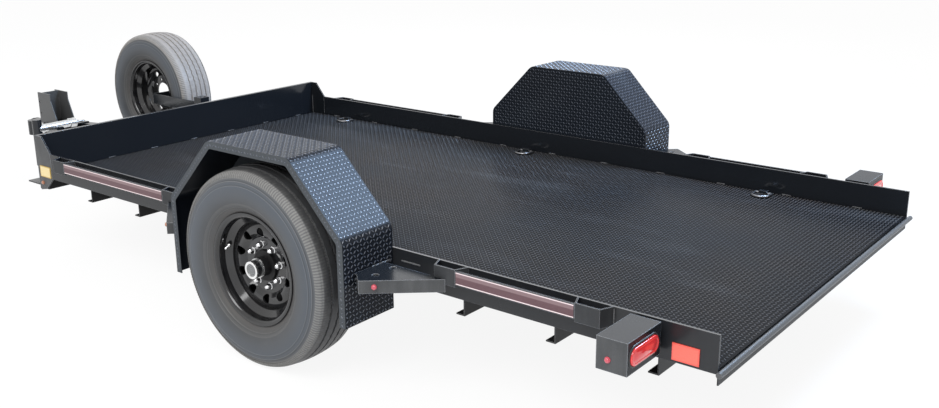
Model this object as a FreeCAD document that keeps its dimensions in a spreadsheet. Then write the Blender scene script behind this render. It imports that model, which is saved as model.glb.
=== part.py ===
import FreeCAD, Part
import Sketcher
import math
import os

# Tilt trailer: a flat steel deck on two wheels that tips about a pin under its middle.
# The drawing frame has X forward from the deck's rear edge, Y to the left and Z up from the deck's top.
# Every piece is placed in the row frame, whose origin lies on the ground under the middle of the whole.

SIZES = {
    # Deck and walls
    "deck_height": 400,
    "deck_length": 3670,
    "deck_width": 1852,
    "deck_gauge": 4.8,
    "wall_gauge": 8,
    "wall_rise": 110,
    "wall_drop": 17,
    "rear_rod_radius": 10,
    "rear_rod_drop": 12,
    "rear_rod_overhang": 15,
    "rear_angle_leg": 51,
    "rear_angle_gauge": 5,
    # Channels under the deck
    "cross_pitch": 381,
    "cross_setback": 27,
    "cross_rear_room": 100,
    "cross_height": 76.2,
    "cross_flange": 38,
    "cross_gauge": 5,
    # Front wall and its end plates
    "front_gauge": 6,
    "front_rise": 191,
    "front_drop": 85,
    "front_flange": 20,
    "end_reach": 104,
    "end_slope_reach": 36,
    "end_low_reach": 39,
    "end_low_rise": 7,
    "end_toe_drop": 3,
    "end_toe_rise": 5,
    "end_toe_setback": 10,
    # Stake pockets and rub rails
    "pocket_from_rear": 422,
    "pocket_behind_fender": 285,
    "pocket_ahead_fender": 308,
    "pocket_from_front": 260,
    "pocket_depth": 51,
    "pocket_face": 92,
    "pocket_base": 136,
    "pocket_gauge": 6,
    "pocket_low": 47,
    "pocket_high": 111,
    "rub_gauge": 8,
    "rub_low": 56,
    "rub_high": 107,
    # Wheels and tyres
    "wheel_from_front": 1910,
    "wheel_setback": 83,
    "tyre_radius": 391,
    "tyre_bulge": 117.5,
    "tread_half": 90,
    "tread_crown": 8,
    "tread_gauge": 18,
    "groove_half": 5,
    "groove_depth": 7,
    "groove_inner": 18,
    "groove_outer": 54,
    "shoulder_drop": 34,
    "shoulder_inset": 8,
    "shoulder_bulge": 4,
    "shoulder_gauge": 16,
    "sidewall_gauge": 12,
    "bead_radius": 203,
    "bead_gauge": 14,
    "bead_shelf": 24,
    "bead_toe": 38,
    "rim_half": 92.5,
    "rim_flange_radius": 220.5,
    "rim_edge": 5,
    "rim_root": 10,
    "rim_gauge": 5,
    "rim_roll": 16,
    "rim_roll_bulge": 5,
    "well_depth": 23,
    "well_start": 57,
    "ledge_length": 38,
    "lug_face": 20,
    "disc_gauge": 7,
    "disc_step": 26,
    "disc_slope": 18,
    "disc_crest": 16,
    "disc_crest_bulge": 6,
    "pilot_radius": 62,
    "lug_circle_radius": 82.55,
    "lug_hole_radius": 8,
    "vent_circle_radius": 133,
    "vent_radius": 18,
    # Hub, drum and cap
    "hub_clearance": 2,
    "hub_nose": 30,
    "hub_neck_radius": 38,
    "hub_end": 60,
    "hub_seat_edge": 22,
    "hub_barrel_radius": 46,
    "drum_radius": 165,
    "drum_wall": 12,
    "drum_gap": 6,
    "drum_web": 20,
    "drum_step": 12,
    "spindle_reach": 35,
    "spindle_end_gap": 5,
    "cap_radius": 34,
    "cap_flange": 4,
    "cap_flange_gauge": 6,
    "cap_length": 35,
    "cap_window_radius": 25,
    "cap_window_depth": 3,
    # Axle
    "axle_square": 76,
    "axle_gauge": 6,
    "axle_ahead": 108,
    "axle_rise": 73,
    "arm_gap": 10,
    "arm_gauge": 34,
    "arm_big_radius": 48,
    "arm_small_radius": 38,
    "bracket_reach": 37,
    "spindle_radius": 22.5,
    "bearing_clearance": 0.3,
    "backing_radius": 150,
    "backing_gauge": 4,
    # Fenders
    "fender_width": 254,
    "fender_gauge": 3.2,
    "fender_top": 455,
    "fender_shoulder": 194,
    "fender_end": -126,
    "fender_top_half": 223,
    "fender_half": 477,
    "fender_fold": 48,
    "fender_lip": 29,
    "panel_gauge": 3.2,
    "panel_low": 30,
    # Braces between fender and pockets
    "brace_top": 68,
    "brace_low": 20,
    "brace_gauge": 4,
    "brace_setback": 10,
    "brace_toe": 4,
    "brace_corner": 60,
    "brace_corner_side": 52,
    "brace_hole_radius": 12.5,
    "brace_hole_ahead": 68,
    "brace_hole_inner": 24,
    "brace_hole_pitch": 90,
    # Tail boxes and lamps
    "tail_place": 180,
    "tail_length": 105,
    "tail_gap": 22,
    "tail_width": 198,
    "tail_low": 8,
    "tail_high": 113,
    "tail_gauge": 3,
    "tail_stub_inset": 25,
    "lens_inset": 104,
    "lens_level": 60,
    "lens_length": 165,
    "lens_height": 57,
    "lens_depth": 18,
    "lens_proud": 9,
    "grommet_wall": 4,
    "grommet_lip": 4,
    "marker_radius": 10,
    "marker_tip_radius": 8,
    "marker_height": 9,
    "brace_marker_setback": 54,
    "tail_marker_ahead": 65,
    "tail_marker_level": 45,
    "front_marker_setback": 13,
    "front_marker_level": -48,
    "reflector_gauge": 4,
    "reflector_length": 90,
    "reflector_height": 56,
    "red_reflector_place": 60,
    "red_reflector_low": -8,
    "amber_reflector_setback": 4,
    "amber_reflector_low": -15,
    # Lashing rings
    "ring_from_rear": 625,
    "ring_ahead_wheel": 205,
    "ring_from_front": 360,
    "ring_rod": 6.5,
    "ring_half": 40,
    "ring_leg": 30,
    "ring_from_wall": 52,
    "ring_lift": 0.3,
    "ring_clearance": 0.3,
    "strap_gauge": 5,
    "strap_width": 40,
    "strap_foot": 16,
    # Chassis
    "rail_side": 420,
    "rail_width": 51,
    "rail_height": 102,
    "rail_gauge": 5,
    "rail_top": -91,
    "rail_tail": 51,
    "frame_lead": 75,
    "tongue_length": 1408,
    "tip_side": 36,
    "chassis_cross_first": 1445,
    "chassis_cross_second": 745,
    "pad_clearance": 0.3,
    "pad_length": 50,
    # Tilt pivot
    "pivot_ahead": 143,
    "pivot_level": -142,
    "pivot_pin_radius": 16,
    "pivot_clearance": 0.25,
    "pivot_sleeve_radius": 25,
    "pivot_sleeve_gap": 0.5,
    "pivot_head_rise": 6,
    "pivot_head_gauge": 8,
    "ear_gap": 3,
    "ear_gauge": 8,
    "ear_boss_radius": 40,
    # Front end of the tongue
    "post_width": 127,
    "post_depth": 43,
    "post_gauge": 9,
    "post_flange": 8,
    "post_low": -193,
    "post_high": 105,
    "tip_plate_gauge": 6,
    "tip_plate_length": 218,
    "gusset_gauge": 6,
    "gusset_side": 57,
    "gusset_top": 99,
    "gusset_nose": 45,
    "gusset_foot": 158,
    "bolt_ahead": 27,
    "bolt_above": 26,
    "bolt_pitch": 76,
    "bolt_hole_radius": 8.2,
    "coupler_low": -210,
    "coupler_high": -93,
    "coupler_half": 54,
    "coupler_step": 22,
    "coupler_floor": 12,
    "coupler_block": 70,
    "coupler_knee": 90,
    "coupler_throat": 40,
    "coupler_neck_inset": 6,
    "latch_back": 95,
    "latch_front": 15,
    "latch_rise": 18,
    "latch_edge": 8,
    "latch_ramp": 10,
    "latch_nose": 30,
    "latch_half": 14,
    "ball_rise": 30,
    "ball_ahead": 237,
    "ball_radius": 29.37,
    "socket_clearance": 0.6,
    "socket_outer_radius": 45,
    # Jack
    "jack_behind_post": 253,
    "jack_pipe_radius": 25.4,
    "jack_pipe_length": 218,
    "jack_collar_radius": 31,
    "jack_collar_length": 40,
    "jack_pull_radius": 6,
    "jack_pull_length": 65,
    "jack_flange_radius": 30,
    "jack_side": 255,
    "jack_tube_radius": 28.5,
    "jack_top": -5,
    "jack_tube_length": 290,
    "jack_ram_radius": 22,
    "jack_foot_side": 130,
    "jack_foot_gauge": 8,
    # Spare wheel
    "spare_ahead": 853,
    "spare_level": 91,
    "spare_side": 463,
    "spare_post_ahead": 252,
    "spare_post_square": 64,
    "spare_post_gauge": 5,
    "spare_clearance": 8,
    "spare_post_top": 146,
    "spare_arm_gauge": 8,
    "spare_arm_low": 50,
    "spare_arm_height": 64,
    "spare_plate_radius": 100,
    "spare_plate_drop": 11,
}

# Counts and turns that a wheel's pattern has
LUG_COUNT = 8
LUG_TURN = 33
VENT_COUNT = 10
VENT_TURN = 16
COUPLER_HOLES = 4

# How far a cutter passes through the face that it cuts
OVERRUN = 1

document = FreeCAD.newDocument("TiltTrailer")
sheet = document.addObject("Spreadsheet::Sheet", "Sizes")
for row, (alias, number) in enumerate(SIZES.items(), start=1):
    sheet.set("A%d" % row, alias)
    sheet.set("B%d" % row, str(number))
    sheet.setAlias("B%d" % row, alias)
document.recompute()


class Dim:
    """A size worked out from the sheet, kept as the expression that gives it."""

    def __init__(self, text):
        self.text = str(text)

    def __add__(self, other):
        return Dim("(%s + %s)" % (self.text, written(other)))

    def __radd__(self, other):
        return Dim("(%s + %s)" % (written(other), self.text))

    def __sub__(self, other):
        return Dim("(%s - %s)" % (self.text, written(other)))

    def __rsub__(self, other):
        return Dim("(%s - %s)" % (written(other), self.text))

    def __mul__(self, other):
        return Dim("(%s * %s)" % (self.text, written(other)))

    def __rmul__(self, other):
        return Dim("(%s * %s)" % (written(other), self.text))

    def __truediv__(self, other):
        return Dim("(%s / %s)" % (self.text, written(other)))

    def __neg__(self):
        return Dim("(0 - %s)" % self.text)

    def number(self):
        result = sheet.evalExpression(self.text)
        return float(getattr(result, "Value", result))


def written(value):
    """The text of a size or plain number inside an expression."""
    if isinstance(value, Dim):
        return value.text
    return "(%r)" % value if value < 0 else repr(value)


def dim(value):
    return value if isinstance(value, Dim) else Dim(written(value))


def root(value):
    return Dim("sqrt(%s)" % value.text)


def half_turn_tangent(rise, run):
    """Tangent of half the angle whose tangent is rise over run."""
    return Dim("tan(atan(%s / %s) / 2)" % (written(rise), written(run)))


class Cells:
    """The sheet's cells by their aliases."""

    def __getattr__(self, alias):
        return Dim("Sizes." + alias)


size = Cells()
V = FreeCAD.Vector
X_WAY = V(1, 0, 0)
Y_WAY = V(0, 1, 0)
Z_WAY = V(0, 0, 1)
# Cosine past which an edge counts as running along an axis
ALONG = 0.99
TURNS = {
    "X": FreeCAD.Rotation(Y_WAY, 90),
    "Y": FreeCAD.Rotation(X_WAY, -90),
    "Z": FreeCAD.Rotation(Z_WAY, 0),
}

# Places that several pieces share
wall_in = size.deck_width / 2
wall_out = wall_in + size.wall_gauge
deck_under = -size.deck_gauge
cross_low = deck_under - size.cross_height
wheel_place = size.deck_length - size.wheel_from_front
chassis_front = size.deck_length + size.frame_lead
post_place = chassis_front + size.tongue_length
ball_place = post_place + size.ball_ahead
nose_place = ball_place + size.socket_outer_radius
tail_end = -2 * size.rear_rod_radius
middle = (nose_place + tail_end) / 2
rail_low = size.rail_top - size.rail_height
ground = -size.deck_height
wheel_level = size.tyre_radius - size.deck_height
fender_out = wall_out + size.fender_width
fender_back = wheel_place - size.fender_half
fender_front = wheel_place + size.fender_half
wheel_side = fender_out - size.wheel_setback
pocket_out = wall_out + size.pocket_depth
brace_outer = fender_out - size.brace_setback
tail_inner = wall_out + size.tail_gap
tail_outer = tail_inner + size.tail_width
axle_place = wheel_place + size.axle_ahead
axle_level = rail_low + size.axle_rise
drum_back = wall_out + size.arm_gap + size.arm_gauge + size.backing_gauge + size.drum_gap
jack_place = post_place - size.jack_behind_post
POCKET_PLACES = [
    size.pocket_from_rear,
    fender_back - size.pocket_behind_fender,
    fender_front + size.pocket_ahead_fender,
    size.deck_length - size.pocket_from_front,
]


def cross_place(index):
    """Middle of a channel under the deck, counted from the front."""
    return size.deck_length - size.cross_setback - size.cross_pitch * index


PIVOT_BAY = 6
pivot_place = cross_place(PIVOT_BAY) + size.pivot_ahead

nodes = []


def keep(label, piece):
    """Name a finished piece as a node."""
    piece.Label = label
    nodes.append(piece)
    return piece


def bind(piece, name, value):
    piece.setExpression(name, dim(value).text)


def place(piece, x, y, z, turn=None):
    """Put a piece at a point of the drawing frame."""
    if turn is not None:
        piece.Placement = FreeCAD.Placement(V(0, 0, 0), turn)
    bind(piece, "Placement.Base.x", x - middle)
    bind(piece, "Placement.Base.y", y)
    bind(piece, "Placement.Base.z", z + size.deck_height)
    return piece


def block(x_low, x_high, y_low, y_high, z_low, z_high):
    """A box between two corners."""
    piece = document.addObject("Part::Box", "Block")
    bind(piece, "Length", x_high - x_low)
    bind(piece, "Width", y_high - y_low)
    bind(piece, "Height", z_high - z_low)
    return place(piece, dim(x_low), y_low, dim(z_low))


def rod(way, x, y, z, radius, length):
    """A round bar that starts at a point and runs along an axis."""
    piece = document.addObject("Part::Cylinder", "Rod")
    bind(piece, "Radius", radius)
    bind(piece, "Height", length)
    return place(piece, dim(x), y, dim(z), TURNS[way])


def join(pieces):
    piece = document.addObject("Part::MultiFuse", "Join")
    piece.Shapes = pieces
    piece.Refine = True
    return piece


def cut(base, *tools):
    for tool in tools:
        piece = document.addObject("Part::Cut", "Cut")
        piece.Base = base
        piece.Tool = tool
        base = piece
    return base


def group(pieces):
    """Solids that don't touch, kept as one node."""
    piece = document.addObject("Part::Compound", "Group")
    piece.Links = pieces
    return piece


def mirrored(source):
    """The same piece on the other side of the middle."""
    piece = document.addObject("Part::Mirroring", "Mirrored")
    piece.Source = source
    piece.Normal = Y_WAY
    return piece


def pair(source):
    return group([source, mirrored(source)])


def keep_sides(label, source):
    """A left piece and its mirror image as two nodes."""
    keep(label + "_left", source)
    keep(label + "_right", mirrored(source))


def arc_middle(start, end, radius):
    """A point on the arc between two points, with its centre on the left for a positive radius."""
    along = end - start
    chord = along.Length
    left = V(-along.y, along.x, 0) / chord
    rise = math.sqrt(max(radius * radius - chord * chord / 4, 0.0))
    side = 1 if radius > 0 else -1
    centre = (start + end) / 2 + left * rise * side
    return centre - left * side * abs(radius)


def origin_part(body, role):
    return [feature for feature in body.Origin.OriginFeatures if feature.Role == role][0]


def outline(body, plane, corners):
    """A closed sketch. A third value at a corner is the radius of the arc that leaves it."""
    sketch = body.newObject("Sketcher::SketchObject", "Outline")
    sketch.AttachmentSupport = [(origin_part(body, plane), "")]
    sketch.MapMode = "FlatFace"
    flat = [V(dim(corner[0]).number(), dim(corner[1]).number(), 0) for corner in corners]
    total = len(corners)
    for index, corner in enumerate(corners):
        start = flat[index]
        end = flat[(index + 1) % total]
        if len(corner) == 3:
            radius = dim(corner[2]).number()
            through = arc_middle(start, end, radius)
            counterclockwise = (start, through, end) if radius > 0 else (end, through, start)
            sketch.addGeometry(Part.Arc(*counterclockwise), False)
        else:
            sketch.addGeometry(Part.LineSegment(start, end), False)
    ends = []
    for index in range(total):
        edge = sketch.Geometry[index]
        forward = edge.StartPoint.distanceToPoint(flat[index]) < edge.EndPoint.distanceToPoint(flat[index])
        ends.append((1, 2) if forward else (2, 1))
    for index in range(total):
        after = (index + 1) % total
        sketch.addConstraint(Sketcher.Constraint("Coincident", index, ends[index][1], after, ends[after][0]))
    for index, corner in enumerate(corners):
        for kind, value in (("DistanceX", corner[0]), ("DistanceY", corner[1])):
            value = dim(value)
            rule = Sketcher.Constraint(kind, -1, 1, index, ends[index][0], value.number())
            number = sketch.addConstraint(rule)
            sketch.setExpression("Constraints[%d]" % number, value.text)
        if len(corner) == 3:
            radius = dim(corner[2])
            number = sketch.addConstraint(Sketcher.Constraint("Radius", index, abs(radius.number())))
            sketch.setExpression("Constraints[%d]" % number, "abs(%s)" % radius.text)
    return sketch


def add_circle(sketch, u, v, radius):
    index = sketch.addGeometry(Part.Circle(V(u.number(), v.number(), 0), Z_WAY, radius.number()), False)
    for kind, value in (("DistanceX", u), ("DistanceY", v)):
        number = sketch.addConstraint(Sketcher.Constraint(kind, -1, 1, index, 3, value.number()))
        sketch.setExpression("Constraints[%d]" % number, value.text)
    number = sketch.addConstraint(Sketcher.Constraint("Radius", index, radius.number()))
    sketch.setExpression("Constraints[%d]" % number, radius.text)


def pad(plane, corners, low, high):
    """A body padded from an outline between two levels across its plane."""
    body = document.addObject("PartDesign::Body", "Body")
    sketch = outline(body, plane + "_Plane", corners)
    feature = body.newObject("PartDesign::Pad", "Pad")
    feature.Profile = sketch
    bind(feature, "Length", high - low)
    start = {"XY": (0, 0, low), "XZ": (0, high, 0), "YZ": (low, 0, 0)}[plane]
    place(body, dim(start[0]), dim(start[1]), dim(start[2]))
    return body


def turned(way, corners, x, y, z):
    """A body revolved about an axis. Corners are radius and length, or length and radius for X."""
    body = document.addObject("PartDesign::Body", "Body")
    plane = {"X": "XY_Plane", "Y": "XY_Plane", "Z": "XZ_Plane"}[way]
    sketch = outline(body, plane, corners)
    feature = body.newObject("PartDesign::Revolution", "Revolution")
    feature.Profile = sketch
    feature.ReferenceAxis = (sketch, ["H_Axis" if way == "X" else "V_Axis"])
    feature.Angle = 360
    place(body, dim(x), dim(y), dim(z))
    return body


def round_folds(body, way, radius, chosen):
    """Round the chosen edges of a padded body that run along one axis."""
    document.recompute()
    tip = body.Tip
    names = []
    for index, edge in enumerate(tip.Shape.Edges, start=1):
        along = edge.tangentAt(edge.FirstParameter)
        if abs(along.dot(way)) > ALONG and chosen(edge.CenterOfMass):
            names.append("Edge%d" % index)
    feature = body.newObject("PartDesign::Fillet", "Folds")
    feature.Base = (tip, names)
    bind(feature, "Radius", radius)
    return body


# Deck


def make_deck():
    keep("deck_plate", block(0, size.deck_length, -wall_in, wall_in, deck_under, 0))
    run = (size.deck_length - size.cross_setback - size.cross_rear_room).number()
    count = int(run / size.cross_pitch.number()) + 1
    keep("deck_cross_members", group([make_channel(cross_place(index)) for index in range(count)]))
    leg = size.rear_angle_leg
    gauge = size.rear_angle_gauge
    corners = [
        (0, deck_under),
        (leg, deck_under),
        (leg, deck_under - gauge),
        (gauge, deck_under - gauge),
        (gauge, deck_under - leg),
        (0, deck_under - leg),
    ]
    keep("rear_angle", pad("XZ", corners, -wall_in, wall_in))
    reach = wall_out + size.rear_rod_overhang
    radius = size.rear_rod_radius
    keep("rear_rod", rod("Y", -radius, -reach, -size.rear_rod_drop, radius, 2 * reach))


def make_channel(x):
    """A channel across the deck, open towards the front."""
    back = x - size.cross_flange / 2
    front = x + size.cross_flange / 2
    gauge = size.cross_gauge
    corners = [
        (back, deck_under),
        (front, deck_under),
        (front, deck_under - gauge),
        (back + gauge, deck_under - gauge),
        (back + gauge, cross_low + gauge),
        (front, cross_low + gauge),
        (front, cross_low),
        (back, cross_low),
    ]
    return pad("XZ", corners, -wall_in, wall_in)


def make_walls():
    wall_end = size.deck_length - size.end_reach
    keep_sides("side_wall", block(0, wall_end, wall_in, wall_out, -size.wall_drop, size.wall_rise))
    face = size.deck_length
    gauge = size.front_gauge
    lead = face + size.front_flange
    corners = [
        (face, -size.front_drop),
        (face + gauge, -size.front_drop),
        (face + gauge, size.front_rise - gauge),
        (lead, size.front_rise - gauge),
        (lead, size.front_rise),
        (face, size.front_rise),
    ]
    keep("front_wall", pad("XZ", corners, -wall_in, wall_in))
    corners = [
        (wall_end, -size.wall_drop),
        (face - size.end_low_reach, size.end_low_rise - size.front_drop),
        (lead - size.end_toe_setback, -size.front_drop - size.end_toe_drop),
        (lead, size.end_toe_rise - size.front_drop),
        (lead, size.front_rise),
        (face - size.end_slope_reach, size.front_rise),
        (wall_end, size.wall_rise),
    ]
    keep("end_plates", pair(pad("XZ", corners, wall_in, wall_out)))


def pocket_half(y):
    """Half width of a pocket's outside at a distance from the middle."""
    run = (size.pocket_base - size.pocket_face) / 2 / size.pocket_depth
    return size.pocket_base / 2 - run * (y - wall_out)


def make_pocket(x):
    """A folded stake pocket, open above and below."""
    run = (size.pocket_base - size.pocket_face) / 2 / size.pocket_depth
    side = size.pocket_gauge * root(1 + run * run)
    inner = pocket_out - size.pocket_gauge
    corners = [
        (x - pocket_half(wall_out), wall_out),
        (x - pocket_half(pocket_out), pocket_out),
        (x + pocket_half(pocket_out), pocket_out),
        (x + pocket_half(wall_out), wall_out),
        (x + pocket_half(wall_out) - side, wall_out),
        (x + pocket_half(inner) - side, inner),
        (x - pocket_half(inner) + side, inner),
        (x - pocket_half(wall_out) + side, wall_out),
    ]
    return pad("XY", corners, size.pocket_low, size.pocket_high)


def make_rub_rail(rear, front):
    """A flat bar between two pockets, flush with their faces."""
    inner = pocket_out - size.rub_gauge
    corners = [
        (rear + pocket_half(inner), inner),
        (front - pocket_half(inner), inner),
        (front - pocket_half(pocket_out), pocket_out),
        (rear + pocket_half(pocket_out), pocket_out),
    ]
    return pad("XY", corners, size.rub_low, size.rub_high)


def make_side_fittings():
    keep_sides("stake_pockets", group([make_pocket(x) for x in POCKET_PLACES]))
    rails = [make_rub_rail(*POCKET_PLACES[:2]), make_rub_rail(*POCKET_PLACES[2:])]
    keep("rub_rails", group(rails + [mirrored(rail) for rail in rails]))


# Fenders


def arch(depth):
    """Corners of the fender's side outline, set in by a depth, from rear to front."""
    slope = half_turn_tangent(
        size.fender_top - size.fender_shoulder, size.fender_half - size.fender_top_half)
    other = half_turn_tangent(
        size.fender_half - size.fender_top_half, size.fender_top - size.fender_shoulder)
    x = wheel_place
    half = size.fender_half - depth
    top_half = size.fender_top_half - depth * slope
    top = size.fender_top - depth
    shoulder = size.fender_shoulder - depth * other
    return [
        (x - half, size.fender_end),
        (x - half, shoulder),
        (x - top_half, top),
        (x + top_half, top),
        (x + half, shoulder),
        (x + half, size.fender_end),
    ]


def round_arch(body, depth):
    """Round the folds of a piece cut to the fender's outline, with its inner folds set in by a depth."""
    for level, radius in ((0, size.fender_fold), (depth, size.fender_fold - depth)):
        folds = [V(x.number(), 0, z.number()) for x, z in arch(level)[1:-1]]
        near = depth.number() / 2

        def on_fold(point):
            return min(math.hypot(point.x - fold.x, point.z - fold.z) for fold in folds) < near

        round_folds(body, Y_WAY, radius, on_fold)
    return body


def make_fenders():
    inner = wall_out + size.panel_gauge
    gauge = size.fender_gauge
    band = pad("XZ", arch(0) + arch(gauge)[::-1], inner, fender_out)
    lip = pad("XZ", arch(0) + arch(size.fender_lip)[::-1], fender_out - gauge, fender_out)
    keep_sides("fender", join([round_arch(band, gauge), round_arch(lip, size.fender_lip)]))
    corners = arch(0)
    corners[0] = (corners[0][0], size.panel_low)
    corners[-1] = (corners[-1][0], size.panel_low)
    panel = pad("XZ", corners, wall_out, inner)
    round_folds(panel, Y_WAY, size.fender_fold, lambda point: point.z > (size.fender_shoulder / 2).number())
    keep("fender_panels", pair(panel))


def inner_corner(before, corner, after, way, depth):
    """A bent plate's corner moved in by its thickness."""
    normals = []
    for start, end in ((before, corner), (corner, after)):
        run = end[0] - start[0]
        rise = end[1] - start[1]
        span = root(run * run + rise * rise)
        normals.append((-way * rise / span, way * run / span))
    (first_x, first_y), (second_x, second_y) = normals
    share = depth / (1 + first_x * second_x + first_y * second_y)
    return (corner[0] + share * (first_x + second_x), corner[1] + share * (first_y + second_y))


def brace_corners(fender_face, pocket, way):
    """Foot, corner and end of a brace's outer edge, in plan."""
    foot = (pocket + way * size.brace_toe, pocket_out)
    corner = (fender_face + way * size.brace_corner, brace_outer)
    end = (fender_face, brace_outer - size.brace_corner_side)
    return foot, corner, end


def make_brace(fender_face, pocket, way):
    """A folded shelf from the fender's end to a stake pocket, ahead of it for way 1 or behind it for -1."""
    gauge = size.brace_gauge
    foot, corner, end = brace_corners(fender_face, pocket, way)
    back = (fender_face, pocket_out)
    shell = pad("XY", [foot, corner, end, back], size.brace_low, size.brace_top)
    rise = corner[1] - foot[1]
    run = corner[0] - foot[0]
    shift = gauge * root(run * run + rise * rise) / rise
    across = size.brace_corner_side
    along = size.brace_corner
    fall = gauge * root(along * along + across * across) / along
    inner = [
        (foot[0] - way * shift, pocket_out),
        inner_corner(foot, corner, end, way, gauge),
        (fender_face, end[1] - fall),
        back,
    ]
    hollow = pad("XY", inner, size.brace_low - OVERRUN, size.brace_top - gauge)
    holes = []
    for step in range(2):
        y = pocket_out + size.brace_hole_inner + size.brace_hole_pitch * step
        holes.append(rod("Z", fender_face + way * size.brace_hole_ahead, y, size.brace_low,
                         size.brace_hole_radius, size.brace_top - size.brace_low + OVERRUN))
    return cut(shell, hollow, *holes)


def make_braces():
    rear = make_brace(fender_back, POCKET_PLACES[1], -1)
    front = make_brace(fender_front, POCKET_PLACES[2], 1)
    keep("fender_braces", group([rear, front, mirrored(rear), mirrored(front)]))


# Tail boxes, lamps and reflectors


def stadium(x_low, x_high, length, height):
    """A bar with round ends, lying across the trailer at the lamp's place."""
    straight = length - height
    y_low = tail_inner + size.lens_inset - straight / 2
    radius = height / 2
    body = block(x_low, x_high, y_low, y_low + straight, size.lens_level - radius, size.lens_level + radius)
    first = rod("X", x_low, y_low, size.lens_level, radius, x_high - x_low)
    second = rod("X", x_low, y_low + straight, size.lens_level, radius, x_high - x_low)
    return join([body, first, second])


def make_tail():
    back = size.tail_place
    front = back + size.tail_length
    low = size.tail_low
    high = size.tail_high
    gauge = size.tail_gauge
    inset = size.tail_stub_inset
    length = size.lens_length + 2 * size.grommet_wall
    height = size.lens_height + 2 * size.grommet_wall
    lip = 2 * size.grommet_lip
    lens_back = back - size.lens_proud
    lens_front = lens_back + size.lens_depth
    shell = block(back, front, tail_inner, tail_outer, low, high)
    hollow = block(back + gauge, front + OVERRUN, tail_inner + gauge, tail_outer - gauge,
                   low + gauge, high - gauge)
    window = stadium(back - OVERRUN, back + gauge + OVERRUN, length, height)
    stub = block(back + inset, front - inset, wall_out, tail_inner, low + inset, high - inset)
    keep("tail_boxes", pair(join([cut(shell, hollow, window), stub])))
    rim = stadium(back - size.grommet_lip, back, length + lip, height + lip)
    sleeve = stadium(back, lens_front, length, height)
    hole = stadium(lens_back, lens_front + OVERRUN, size.lens_length, size.lens_height)
    keep("lamp_grommets", pair(cut(join([rim, sleeve]), hole)))
    keep("tail_lamps", pair(stadium(lens_back, lens_front, size.lens_length, size.lens_height)))


def marker(x, y, z, way):
    """A small round lamp that stands out from a face along a level direction."""
    piece = document.addObject("Part::Cone", "Marker")
    bind(piece, "Radius1", size.marker_radius)
    bind(piece, "Radius2", size.marker_tip_radius)
    bind(piece, "Height", size.marker_height)
    return place(piece, dim(x), dim(y), dim(z), FreeCAD.Rotation(Z_WAY, way))


def brace_marker(fender_face, pocket, way):
    """A marker near the outer end of a brace's sloping face."""
    foot, corner, _ = brace_corners(fender_face, pocket, way)
    run = foot[0] - corner[0]
    rise = foot[1] - corner[1]
    share = size.brace_marker_setback / root(run * run + rise * rise)
    level = (size.brace_low + size.brace_top) / 2
    facing = V(-way * rise.number(), way * run.number(), 0)
    return marker(corner[0] + share * run, corner[1] + share * rise, level, facing)


def make_markers():
    side = marker(size.tail_place + size.tail_marker_ahead, tail_outer, size.tail_marker_level, Y_WAY)
    rear = brace_marker(fender_back, POCKET_PLACES[1], -1)
    keep("red_markers", group([side, rear, mirrored(side), mirrored(rear)]))
    front = brace_marker(fender_front, POCKET_PLACES[2], 1)
    end = marker(size.deck_length - size.front_marker_setback, wall_out, size.front_marker_level, Y_WAY)
    keep("amber_markers", group([front, end, mirrored(front), mirrored(end)]))


def reflector(x, z):
    """A flat reflector on the outside of a wall, from its rear lower corner."""
    end = x + size.reflector_length
    return block(x, end, wall_out, wall_out + size.reflector_gauge, z, z + size.reflector_height)


def make_reflectors():
    keep("red_reflectors", pair(reflector(size.red_reflector_place, size.red_reflector_low)))
    front = size.deck_length - size.amber_reflector_setback - size.reflector_length
    keep("amber_reflectors", pair(reflector(front, size.amber_reflector_low)))


# Lashing rings


def make_ring(x):
    """A D-shaped ring of round bar, flat on the deck with its curve towards the middle."""
    side = wall_in - size.ring_from_wall
    level = size.ring_lift + size.ring_rod
    radius = size.ring_rod
    half = size.ring_half
    inner = side - size.ring_leg
    bow = document.addObject("Part::Torus", "Bow")
    bind(bow, "Radius1", half)
    bind(bow, "Radius2", radius)
    bow.Angle3 = 180
    place(bow, x, inner, level, FreeCAD.Rotation(Z_WAY, 180))
    pieces = [bow]
    for way in (-1, 1):
        pieces.append(rod("Y", x + way * half, inner, level, radius, size.ring_leg))
        ball = document.addObject("Part::Sphere", "Ball")
        bind(ball, "Radius", radius)
        pieces.append(place(ball, x + way * half, side, level))
    pieces.append(rod("X", x - half, side, level, radius, 2 * half))
    return join(pieces)


def make_strap(x):
    """A bent strap that holds a ring's straight side to the deck."""
    side = wall_in - size.ring_from_wall
    clear = size.ring_clearance
    inside = size.ring_rod + clear
    gauge = size.strap_gauge
    top = size.ring_lift + 2 * size.ring_rod + clear
    foot = inside + gauge + size.strap_foot
    corners = [
        (side - foot, 0),
        (side - inside, 0),
        (side - inside, top),
        (side + inside, top),
        (side + inside, 0),
        (side + foot, 0),
        (side + foot, gauge),
        (side + inside + gauge, gauge),
        (side + inside + gauge, top + gauge),
        (side - inside - gauge, top + gauge),
        (side - inside - gauge, gauge),
        (side - foot, gauge),
    ]
    return pad("YZ", corners, x - size.strap_width / 2, x + size.strap_width / 2)


def make_rings():
    places = {
        "rear": size.ring_from_rear,
        "middle": wheel_place + size.ring_ahead_wheel,
        "front": size.deck_length - size.ring_from_front,
    }
    straps = []
    for name, x in places.items():
        keep_sides("ring_" + name, make_ring(x))
        straps.append(make_strap(x))
    keep("ring_straps", group(straps + [mirrored(strap) for strap in straps]))


# Chassis


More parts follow.
